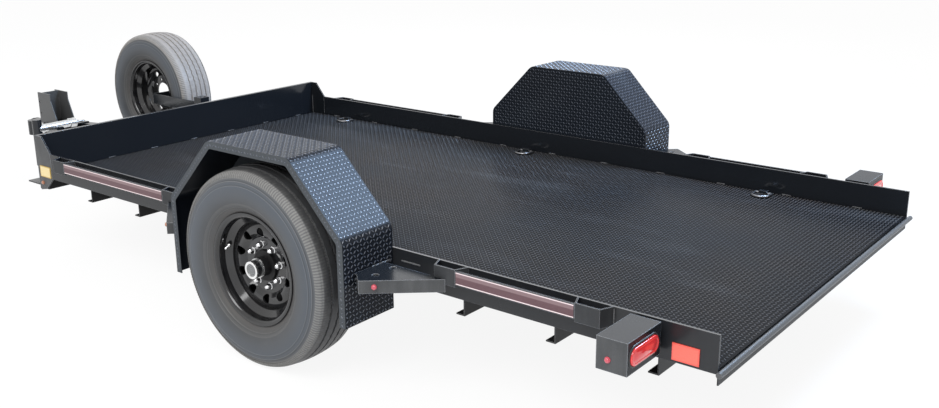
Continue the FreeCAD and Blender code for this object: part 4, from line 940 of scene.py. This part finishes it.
def folded_line(corners, radius, steps=6):
    """Points along a bent line whose inner corners are arcs."""
    points = [Vector(corners[0])]
    for before, corner, after in zip(corners, corners[1:], corners[2:]):
        before, corner, after = Vector(before), Vector(corner), Vector(after)
        into = (corner - before).normalized()
        out = (after - corner).normalized()
        turn = into.angle(out)
        cut = radius * math.tan(turn / 2)
        middle = corner + (out - into).normalized() * (radius / math.cos(turn / 2))
        start = corner - into * cut - middle
        axis = into.cross(out)
        for step in range(steps + 1):
            points.append(middle + Matrix.Rotation(turn * step / steps, 3, axis) @ start)
    points.append(Vector(corners[-1]))
    return points


def arch_corners(side, inset=0.0):
    """The fender's bent outline at a side place, from rear to front."""
    x = wheel_centre.x
    half = (fender_high.x - fender_low.x) / 2 - inset
    top = fender_high.z - inset
    rise = fender_high.z - FENDER_SHOULDER
    run = (fender_high.x - fender_low.x) / 2 - FENDER_TOP_HALF
    top_half = FENDER_TOP_HALF - inset * math.tan(math.atan2(rise, run) / 2)
    shoulder = FENDER_SHOULDER - inset * math.tan(math.atan2(run, rise) / 2)
    low = fender_low.z
    return [(x - half, side, low), (x - half, side, shoulder), (x - top_half, side, top),
            (x + top_half, side, top), (x + half, side, shoulder), (x + half, side, low)]


def make_deck_lugs():
    """The deck's lugs in three lengths, so that each piece stays light."""
    thirds = 3
    cells = int((deck_high.x - deck_low.x) / LUG_PITCH / thirds / 2) * 2
    start = deck_low.x + DECK_LUG_REAR
    for index, part in enumerate(("rear", "middle", "front")):
        low = start + index * cells * LUG_PITCH
        high = low + (cells + 0.5) * LUG_PITCH if index < thirds - 1 else deck_high.x - DECK_LUG_FRONT
        mesh = lug_mesh("deck_plate", [(low, 0.0, deck_top), (high, 0.0, deck_top)],
                        deck_high.y - deck_low.y - DECK_LUG_SIDES, (0.0, 1.0, 0.0), "deck_crowns",
                        reach=FLAT_REACH)
        keep("deck_lugs_" + part, mesh, "deck", "deck_crowns")


def make_fender_lugs():
    """The lugs along each fender's bent band and on its lip."""
    inner = wall_high.y + PANEL_GAUGE
    middle = (inner + fender_high.y) / 2
    for side, name in ((1, "left"), (-1, "right")):
        band = folded_line(arch_corners(side * middle), FENDER_FOLD)
        lip = folded_line(arch_corners(side * fender_high.y, FENDER_LIP / 2), FENDER_FOLD - FENDER_LIP / 2)
        plate = "fender_" + name
        meshes = [
            lug_mesh(plate, band, fender_high.y - inner, (0.0, 1.0, 0.0), "fender_crowns"),
            lug_mesh(plate, lip, LUG_PITCH, (0.0, float(side), 0.0), "fender_crowns", flat=True),
        ]
        keep("fender_lugs_" + name, joined(meshes), "deck", "fender_crowns")


def make_panel_lugs():
    """The upright inner panels of the fenders, lugged on the side that faces the deck."""
    meshes = []
    for side in (1, -1):
        face = side * wall_high.y
        low = (fender_low.x, face, (wall_high.z + fender_high.z) / 2)
        high = (fender_high.x, face, low[2])
        meshes.append(lug_mesh("fender_panels", [low, high], fender_high.z - wall_high.z,
                               (0.0, -float(side), 0.0), "fender_crowns", flat=True,
                               reach=FLAT_REACH))
    keep("panel_lugs", joined(meshes), "deck", "fender_crowns")


# Wheels


def arc_circle(start, end, bulge):
    """Centre, radius and right hand way of an arc that stands out to the right of its chord by a bulge."""
    chord = end - start
    radius = chord.length_squared / (8 * bulge) + bulge / 2
    right = Vector((chord.y, -chord.x)).normalized()
    return (start + end) / 2 - right * (radius - bulge), radius, right


def arc_points(start, end, bulge, steps):
    """Points from start to before end, on such an arc."""
    start, end = Vector(start), Vector(end)
    centre, radius, right = arc_circle(start, end, bulge)
    half = math.asin((end - start).length / 2 / radius)
    points = []
    for step in range(steps):
        turn = half * (2 * step / steps - 1)
        spoke = Matrix.Rotation(-turn, 2) @ right
        points.append(centre + spoke * radius)
    return points


def crown_point(side, depth=0.0):
    """A point of the tread's crown at a side place, sunk by a depth."""
    return (tyre_outer - TREAD_CROWN * side * side / (TREAD_HALF * TREAD_HALF) - CROWN_SUNK - depth, side)


def wall_points(seat, shoulder):
    """The bulged sidewall with its moulded rings, from the shoulder down to the rim's seat."""
    stops = []
    for radius, height, width in WALL_RINGS:
        stops += [(radius + width, 0.0), (radius + width * 0.5, height), (radius - width * 0.5, height),
                  (radius - width, 0.0)]
    stops += [(radius, 0.0) for radius in WALL_RADII]
    centre, bend, _ = arc_circle(Vector(shoulder), Vector(seat), WALL_BULGE)
    points = []
    for radius, height in sorted(stops, reverse=True):
        side = centre.y + math.sqrt(bend * bend - (radius - centre.x) ** 2)
        points.append((radius, side - SKIN_SUNK + height))
    return points


def tyre_section():
    """The tyre's closed section of radius and side, a little inside the solid, with its ribs and rings."""
    edge = (tyre_outer - TREAD_CROWN, TREAD_HALF)
    shoulder = (tyre_outer - SHOULDER_DROP, SHOULDER_SIDE)
    seat = (FLANGE_RADIUS, RIM_HALF - FLANGE_EDGE)
    groove = ((-1.0, 0.0), (-0.9, GROOVE_LIP), (-0.72, GROOVE_DEPTH), (0.72, GROOVE_DEPTH),
              (0.9, GROOVE_LIP), (1.0, 0.0))
    half = [crown_point(0.0)]
    for middle in GROOVE_PLACES:
        half += [crown_point(middle + place * GROOVE_HALF, depth) for place, depth in groove]
    half += [crown_point(side) for side in TREAD_SIDES]
    half.append((edge[0] - TREAD_EDGE_SUNK[0], edge[1] - TREAD_EDGE_SUNK[1]))
    sunk = Vector((SKIN_SUNK, SKIN_SUNK)) * 0.75
    half += [tuple(point - sunk) for point in arc_points(edge, shoulder, SHOULDER_BULGE, 6)[1:]]
    half += wall_points(seat, shoulder)
    half += [(SEAT_ROUND[0], seat[1] + SEAT_ROUND[1]), (FLANGE_RADIUS - SEAT_INSET, seat[1] - SEAT_INSET),
             (BEAD_ROUND[0], RIM_HALF - BEAD_ROUND[1])]
    half += [(BEAD_RADIUS + BEAD_GAP, RIM_HALF - inset) for inset in BEAD_SIDES]
    inside = [(HOLLOW_FOOT, RIM_HALF - BEAD_SIDES[1]), *HOLLOW]
    back = [(radius, -side) for radius, side in reversed(half[1:])]
    hollow = [(radius, -side) for radius, side in reversed(inside[:-1])]
    return half + inside + hollow + back


def groove_wave(radius, side, step):
    """The grooves run in a shallow zigzag."""
    inside = GROOVE_ZONE[0] < abs(side) < GROOVE_ZONE[1] and radius > tyre_outer - GROOVE_ZONE_DEPTH
    return (GROOVE_SWAY if step % 4 < 2 else -GROOVE_SWAY) if inside else 0.0


def make_tyre(name, node, body, centre, finish):
    """A tyre's skin, which stands for its node."""
    work = bmesh.new()
    turned_section(work, tyre_section(), TYRE_SEGMENTS, Matrix.Translation(centre), groove_wave)
    piece = keep(name, smooth_by_angle(mesh_from(work), 34), body, finish)
    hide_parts(node)


def make_shoulder_ribs(name, body, centre, finish):
    """The fine ribs of both shoulders, on the slope between tread and sidewall."""
    drop = SHOULDER_DROP - TREAD_CROWN
    lean = math.atan2(SHOULDER_SIDE - TREAD_HALF, drop)
    meshes = []
    for side in (1, -1):
        source = bpy.data.objects.new("source", bpy.data.meshes.new("source"))
        meshes.append(RIBS.run(source, **{
            "Count": RIB_COUNT, "Radius": tyre_outer - TREAD_CROWN - drop * 0.50 + RIB_OUT,
            "Side": side * ((SHOULDER_SIDE + TREAD_HALF) / 2 + RIB_ASIDE), "Rib Width": RIB_WIDTH,
            "Rib Length": RIB_LENGTH, "Rib Height": RIB_HEIGHT, "Lean": side * lean,
            "Centre": centre, "Finish": FINISHES[finish]}))
    keep(name, joined(meshes), body, finish)


def nut_mesh(width, height, seat):
    """A cone nut: washer foot, six flats and a domed end, along local Z."""
    work = bmesh.new()
    levels = [(width * 0.62, 0.0, 0), (width * 0.62, seat, 0), (width * 0.54, seat * 1.3, 1),
              (width * 0.56, height * 0.62, 1), (width * 0.44, height * 0.80, 0),
              (width * 0.26, height * 0.95, 0)]
    sides = 24
    rings = []
    for radius, level, flats in levels:
        ring = []
        for step in range(sides):
            turn = math.tau * step / sides
            reach = radius
            if flats:
                away = (turn + math.pi / 6) % (math.pi / 3) - math.pi / 6
                reach = min(radius, width / 2 / math.cos(away))
            ring.append(work.verts.new((reach * math.cos(turn), reach * math.sin(turn), level)))
        rings.append(ring)
    for low, high in zip(rings, rings[1:]):
        band_faces(work, low, high)
    work.faces.new(list(reversed(rings[0])))
    tip = work.verts.new((0.0, 0.0, height))
    for step in range(sides):
        work.faces.new((rings[-1][step], rings[-1][(step + 1) % sides], tip))
    return smooth_by_angle(mesh_from(work), 30)


def fixing_mesh(spots, facing, width, height, seat, seed, finish):
    """Nuts or bolt heads at some spots, all facing one way."""
    nut = bpy.data.objects.new("nut", nut_mesh(width, height, seat))
    bpy.context.scene.collection.objects.link(nut)
    mesh = FIXINGS.run(spot_source(spots), **{
        "Fixing": nut, "Facing": facing, "Seed": seed, "Finish": FINISHES[finish]})
    bpy.data.objects.remove(nut)
    return mesh


def stud_spots(centre, side, turns):
    """Places on the circle of studs, at a side place."""
    spots = []
    for turn in turns:
        angle = STUD_TURN + math.tau * turn / STUD_COUNT
        spots.append((centre.x + STUD_CIRCLE * math.cos(angle), side,
                      centre.z + STUD_CIRCLE * math.sin(angle)))
    return spots


def make_wheel_nuts():
    for side, name in ((1, "left"), (-1, "right")):
        face = side * (wheel_centre.y + LUG_FACE)
        mesh = fixing_mesh(stud_spots(wheel_centre, face, range(STUD_COUNT)), (0.0, side, 0.0),
                           NUT_WIDTH, NUT_HEIGHT, NUT_SEAT, SEEDS["wheel_nuts"], "nut_chrome")
        keep("wheel_nuts_" + name, mesh, "wheel_" + name, "nut_chrome")


def make_valve(name, body, centre, side):
    """Valve stem with a bright nut and cap, standing out of the rim's well."""
    work = bmesh.new()
    turn = Matrix.Rotation(math.radians(90 - VALVE_TURN), 4, "Y")
    lean = Matrix.Rotation(math.radians(-VALVE_LEAN * side), 4, "Z")
    foot = Matrix.Translation((0, side * VALVE_SIDE, VALVE_RADIUS))
    place = Matrix.Translation(centre) @ turn @ foot @ lean
    if side < 0:
        place = place @ Matrix.Rotation(math.pi, 4, "X")
    turned_section(work, VALVE_SECTION, 16, place)
    keep(name, smooth_by_angle(mesh_from(work), 40), body, "nut_chrome")


def make_wheels():
    for side, name in ((1, "left"), (-1, "right")):
        centre = Vector((wheel_centre.x, side * wheel_centre.y, wheel_centre.z))
        body = "wheel_" + name
        make_tyre("tyre_skin_" + name, "tyre_" + name, body, centre, "tyre_rubber")
        make_shoulder_ribs("tyre_ribs_" + name, body, centre, "tyre_rubber")
        make_valve("valve_" + name, body, centre, side)
    make_tyre("tyre_skin_spare", "spare_tyre", "root", spare_centre, "spare_rubber")
    make_shoulder_ribs("tyre_ribs_spare", "root", spare_centre, "spare_rubber")
    make_wheel_nuts()


# Lamps, markers and tapes


def islands(node):
    """The separate solids of a node: each one's middle, facing, radius and depth, for short round solids."""
    work = bmesh.new()
    work.from_mesh(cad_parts[node].data)
    bmesh.ops.remove_doubles(work, verts=work.verts, dist=1e-5)
    # Dicts keep their order, so that each run takes the solids and their faces in the same one
    loose = dict.fromkeys(work.verts)
    found = []
    while loose:
        stack = [loose.popitem()[0]]
        group = []
        while stack:
            vertex = stack.pop()
            group.append(vertex)
            for edge in vertex.link_edges:
                other = edge.other_vert(vertex)
                if other in loose:
                    del loose[other]
                    stack.append(other)
        areas = {}
        for face in dict.fromkeys(face for vertex in group for face in vertex.link_faces):
            key = tuple(round(value, 2) for value in face.normal)
            areas[key] = areas.get(key, 0.0) + face.calc_area()
        facing = Vector(max(areas, key=areas.get))
        middle = sum((vertex.co for vertex in group), Vector()) / len(group)
        if facing.dot(Vector((0.0, middle.y, 0.0))) < 0:
            facing.negate()
        facing.normalize()
        levels = [(vertex.co - middle).dot(facing) for vertex in group]
        radius = max(((vertex.co - middle) - facing * level).length for vertex, level in zip(group, levels))
        found.append((middle + facing * min(levels), facing, radius, max(levels) - min(levels)))
    work.free()
    return found


def make_markers(name, node, finish):
    """Small round lamps: a collar and a domed lens."""
    work = bmesh.new()
    for foot, facing, radius, depth in islands(node):
        section = [(share * radius, level * depth) for share, level in MARKER_SECTION]
        place = Matrix.Translation(foot) @ facing.to_track_quat("Y", "Z").to_matrix().to_4x4()
        turned_section(work, section, 32, place)
    piece = keep(name, smooth_by_angle(mesh_from(work), 42), "deck", finish)
    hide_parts(node)


def stadium_ring(work, middle, straight, radius, x):
    """A ring of vertices round a lamp's outline, in a plane across the trailer."""
    ring = []
    for end in (1, -1):
        for step in range(LAMP_STEPS + 1):
            turn = math.pi * step / LAMP_STEPS - math.pi / 2
            spot = (x, middle.y + end * (straight + radius * math.cos(turn)),
                    middle.z + end * radius * math.sin(turn))
            ring.append(work.verts.new(spot))
    return ring


def loft(work, rings, closed):
    """Faces between rings in turn, with the first and last closed, or joined to each other."""
    pairs = list(zip(rings, rings[1:]))
    if closed:
        pairs.append((rings[-1], rings[0]))
    for low, high in pairs:
        band_faces(work, low, high)
    if not closed:
        work.faces.new(rings[0])
        work.faces.new(rings[-1])


def make_lamp_piece(name, node, levels, closed, finish):
    """Both tail lamps' lenses or grommets, from levels of place and inset."""
    low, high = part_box(node)
    inner = min(abs(vertex.co.y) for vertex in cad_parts[node].data.vertices)
    radius = (high.z - low.z) / 2
    straight = (high.y - inner) / 2 - radius
    work = bmesh.new()
    for side in (1, -1):
        middle = Vector((0.0, side * (high.y + inner) / 2, (low.z + high.z) / 2))
        rings = [stadium_ring(work, middle, straight, radius - inset, low.x + back)
                 for back, inset in levels]
        loft(work, rings, closed)
    piece = keep(name, smooth_by_angle(mesh_from(work), 40), "deck", finish)
    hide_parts(node)


def make_lamps():
    make_lamp_piece("tail_lenses", "tail_lamps", LENS_LEVELS, False, "red_lens")
    make_lamp_piece("grommet_rings", "lamp_grommets", GROMMET_LEVELS, True, "black_rubber")
    make_markers("red_marker_lenses", "red_markers", "red_marker")
    make_markers("amber_marker_lenses", "amber_markers", "amber_lens")


def make_tapes():
    """A strip of marking tape on each rub rail."""
    low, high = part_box("rub_rails")
    middle = (low.z + high.z) / 2
    work = bmesh.new()
    starts = ((low.x, fender_low.x), (fender_high.x, high.x))
    for start, end in starts:
        for side in (1, -1):
            face = side * high.y
            lows = [v.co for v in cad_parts["rub_rails"].data.vertices
                    if start - RAIL_REACH <= v.co.x <= end + RAIL_REACH
                    and abs(v.co.y - face) < FACE_REACH]
            x_low = min(v.x for v in lows) + TAPE_END
            x_high = max(v.x for v in lows) - TAPE_END
            size = Vector((x_high - x_low, TAPE_GAUGE, TAPE_HEIGHT))
            spot = Vector(((x_low + x_high) / 2, face + side * TAPE_GAUGE / 2, middle))
            place = Matrix.Translation(spot) @ Matrix.Diagonal((*size, 1.0))
            bmesh.ops.create_cube(work, size=1.0, matrix=place)
    keep("marking_tapes", mesh_from(work, smooth=False), "deck", tape_finish(middle))


# Welds and bolts


def stitches(start, end, pitch):
    """Short lines at a pitch along a joint."""
    start, end = Vector(start), Vector(end)
    way = (end - start).normalized()
    lines = []
    count = max(1, int((end - start).length / pitch))
    for step in range(count):
        middle = start.lerp(end, (step + 0.5) / count)
        lines.append((middle - way * STITCH_LENGTH / 2, middle + way * STITCH_LENGTH / 2))
    return lines


def keep_welds(name, lines, body, finish):
    mesh = WELDS.run(line_source(*lines), **{
        "Pitch": WELD_PITCH, "Bead Width": WELD_WIDTH, "Seed": SEEDS[name], "Finish": FINISHES[finish]})
    keep(name, mesh, body, finish)


def make_deck_welds():
    """Stitches along the walls' feet, full beads at the corners and at the fenders' ends."""
    front = deck_high.x - WELD_OFF
    lines = stitches((front, deck_low.y, deck_top), (front, deck_high.y, deck_top), FRONT_STITCH_PITCH)
    pockets_low, pockets_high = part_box("stake_pockets_left")
    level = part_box("fender_braces")[1].z
    for side in (1, -1):
        inner = side * (wall_low.y - WELD_OFF)
        outer = side * (wall_high.y + WELD_OFF)
        lines += stitches((deck_low.x + WALL_STITCH_END, inner, deck_top),
                          (front - WALL_STITCH_END, inner, deck_top), WALL_STITCH_PITCH)
        lines.append(((front, inner, deck_top), (front, inner, wall_high.z - CORNER_WELD_END)))
        for x, way in ((fender_low.x, -1), (fender_high.x, 1)):
            lines.append(((x + way * BRACE_WELD[0], outer, level), (x + way * BRACE_WELD[1], outer, level)))
            lines.append(((x + way * BRACE_END_OFF, outer + side * BRACE_END_WELD[0], level),
                          (x + way * BRACE_END_OFF, outer + side * BRACE_END_WELD[1], level)))
        for x in (pockets_low.x, pockets_high.x):
            lines.append(((x, outer, pockets_low.z + POCKET_WELD_END),
                          (x, outer, pockets_high.z - POCKET_WELD_END)))
    keep_welds("deck_welds", lines, "deck", "weld_paint")


def make_frame_welds():
    """Beads where the tongue, the post and the cross tubes meet."""
    low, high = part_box("coupler_post")
    tube_low, tube_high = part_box("tongue_member_left")
    x = low.x + POST_WELD_PLACE
    lines = []
    for side in (1, -1):
        lines.append(((x, side * high.y, low.z + POST_WELD_FOOT), (x, side * high.y, tube_high.z)))
        lines.append(((tube_low.x, side * tube_high.y * TUBE_WELD_SHARE, tube_high.z),
                      (tube_low.x, side * (tube_high.y * TUBE_WELD_SHARE - TUBE_WELD_LENGTH), tube_high.z)))
    keep_welds("frame_welds", lines, "root", "frame_paint")


def make_bolts():
    """The coupler's through bolts, with heads on the left and nuts on the right, and the spare's nuts."""
    post_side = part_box("coupler_post")[1].y
    bolt_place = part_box("tongue_plates")[1].x + COUPLER_BOLT_AHEAD
    meshes = []
    for side, height in ((1, COUPLER_HEAD_HEIGHT), (-1, COUPLER_NUT_HEIGHT)):
        spots = [(bolt_place, side * post_side, level) for level in COUPLER_BOLT_LEVELS]
        meshes.append(fixing_mesh(spots, (0.0, side, 0.0), COUPLER_BOLT_WIDTH, height, COUPLER_BOLT_SEAT,
                                  SEEDS["coupler_bolts"], "zinc_plate"))
    keep("coupler_bolts", joined(meshes), "root", "zinc_plate")
    plate_face = spare_centre.y - LUG_FACE + DISC_GAUGE + SPARE_PLATE
    nuts = fixing_mesh(stud_spots(spare_centre, plate_face, SPARE_NUT_TURNS), (0.0, 1.0, 0.0),
                       NUT_WIDTH, SPARE_NUT_HEIGHT, NUT_SEAT, SEEDS["spare_nuts"], "nut_chrome")
    keep("spare_nuts", nuts, "root", "nut_chrome")


# Floor, light and camera


def make_stage():
    """A pale floor that keeps the shadow and goes white towards the camera."""
    work = bmesh.new()
    bmesh.ops.create_grid(work, x_segments=1, y_segments=1, size=40.0)
    mesh = bpy.data.meshes.new("floor")
    work.to_mesh(mesh)
    work.free()
    floor = bpy.data.objects.new("floor", mesh)
    bpy.context.scene.collection.objects.link(floor)
    finish = Finish("floor")
    plain = finish.add("ShaderNodeBsdfDiffuse", None, {"Color": (0.86, 0.86, 0.86, 1.0)})
    white = finish.add("ShaderNodeEmission", None, {"Color": (1.0, 1.0, 1.0, 1.0), "Strength": 1.05})
    mixed = finish.add("ShaderNodeMixShader", None, {0: finish.seen() * 0.86, 1: plain, 2: white})
    finish.add_output(mixed)
    mesh.materials.append(finish.material)


def make_world():
    world = bpy.data.worlds.new("studio")
    world.use_nodes = True
    world.node_tree.nodes.clear()
    maker = Maker(world.node_tree)
    strength = 0.62 + maker.seen() * 0.38
    light = maker.add("ShaderNodeBackground", None, {"Color": (1.0, 1.0, 1.0, 1.0), "Strength": strength})
    out = world.node_tree.nodes.new("ShaderNodeOutputWorld")
    world.node_tree.links.new(light.socket, out.inputs["Surface"])
    bpy.context.scene.world = world


def make_lamp(name, place, target, size, power, colour=(1.0, 1.0, 1.0)):
    light = bpy.data.lights.new(name, "AREA")
    light.shape = "RECTANGLE"
    light.size, light.size_y = size
    light.energy = power
    light.color = colour
    lamp = bpy.data.objects.new(name, light)
    bpy.context.scene.collection.objects.link(lamp)
    away = Vector(place) - Vector(target)
    lamp.matrix_world = Matrix.Translation(place) @ away.to_track_quat("Z", "Y").to_matrix().to_4x4()


def make_camera():
    """The photograph's view, from behind the trailer on its left."""
    place = (-3.8451, 3.5355, 1.7509)
    yaw, pitch, roll = math.radians(-52.36), math.radians(16.12), math.radians(0.21)
    focal_px, width_px = 1030.44, 939
    data = bpy.data.cameras.new("camera")
    data.sensor_width = 36.0
    data.sensor_fit = "HORIZONTAL"
    data.lens = focal_px / width_px * data.sensor_width
    data.shift_x, data.shift_y = -0.0142, -0.0160
    camera = bpy.data.objects.new("camera", data)
    bpy.context.scene.collection.objects.link(camera)
    turn = (Matrix.Rotation(yaw - math.pi / 2, 4, "Z") @ Matrix.Rotation(math.pi / 2 - pitch, 4, "X")
            @ Matrix.Rotation(-roll, 4, "Z"))
    camera.matrix_world = Matrix.Translation(place) @ turn
    bpy.context.scene.camera = camera


dress_nodes()
make_camera()
make_stage()
make_world()
make_lamp("key", (-2.0, 6.0, 6.5), (0.3, 0.0, 0.4), (5.0, 5.0), 420.0)
make_lamp("back", (3.0, -7.0, 5.0), (0.0, 0.0, 0.4), (6.0, 3.0), 90.0)
make_lamp("slope", (-2.55, -1.75, 3.58), (-1.30, 1.06, 0.72), (1.7, 1.7), 260.0, (0.50, 0.70, 1.0))
make_deck_lugs()
make_fender_lugs()
make_panel_lugs()
make_wheels()
make_lamps()
make_tapes()
make_deck_welds()
make_frame_welds()
make_bolts()

bpy.context.scene.view_settings.view_transform = "Standard"
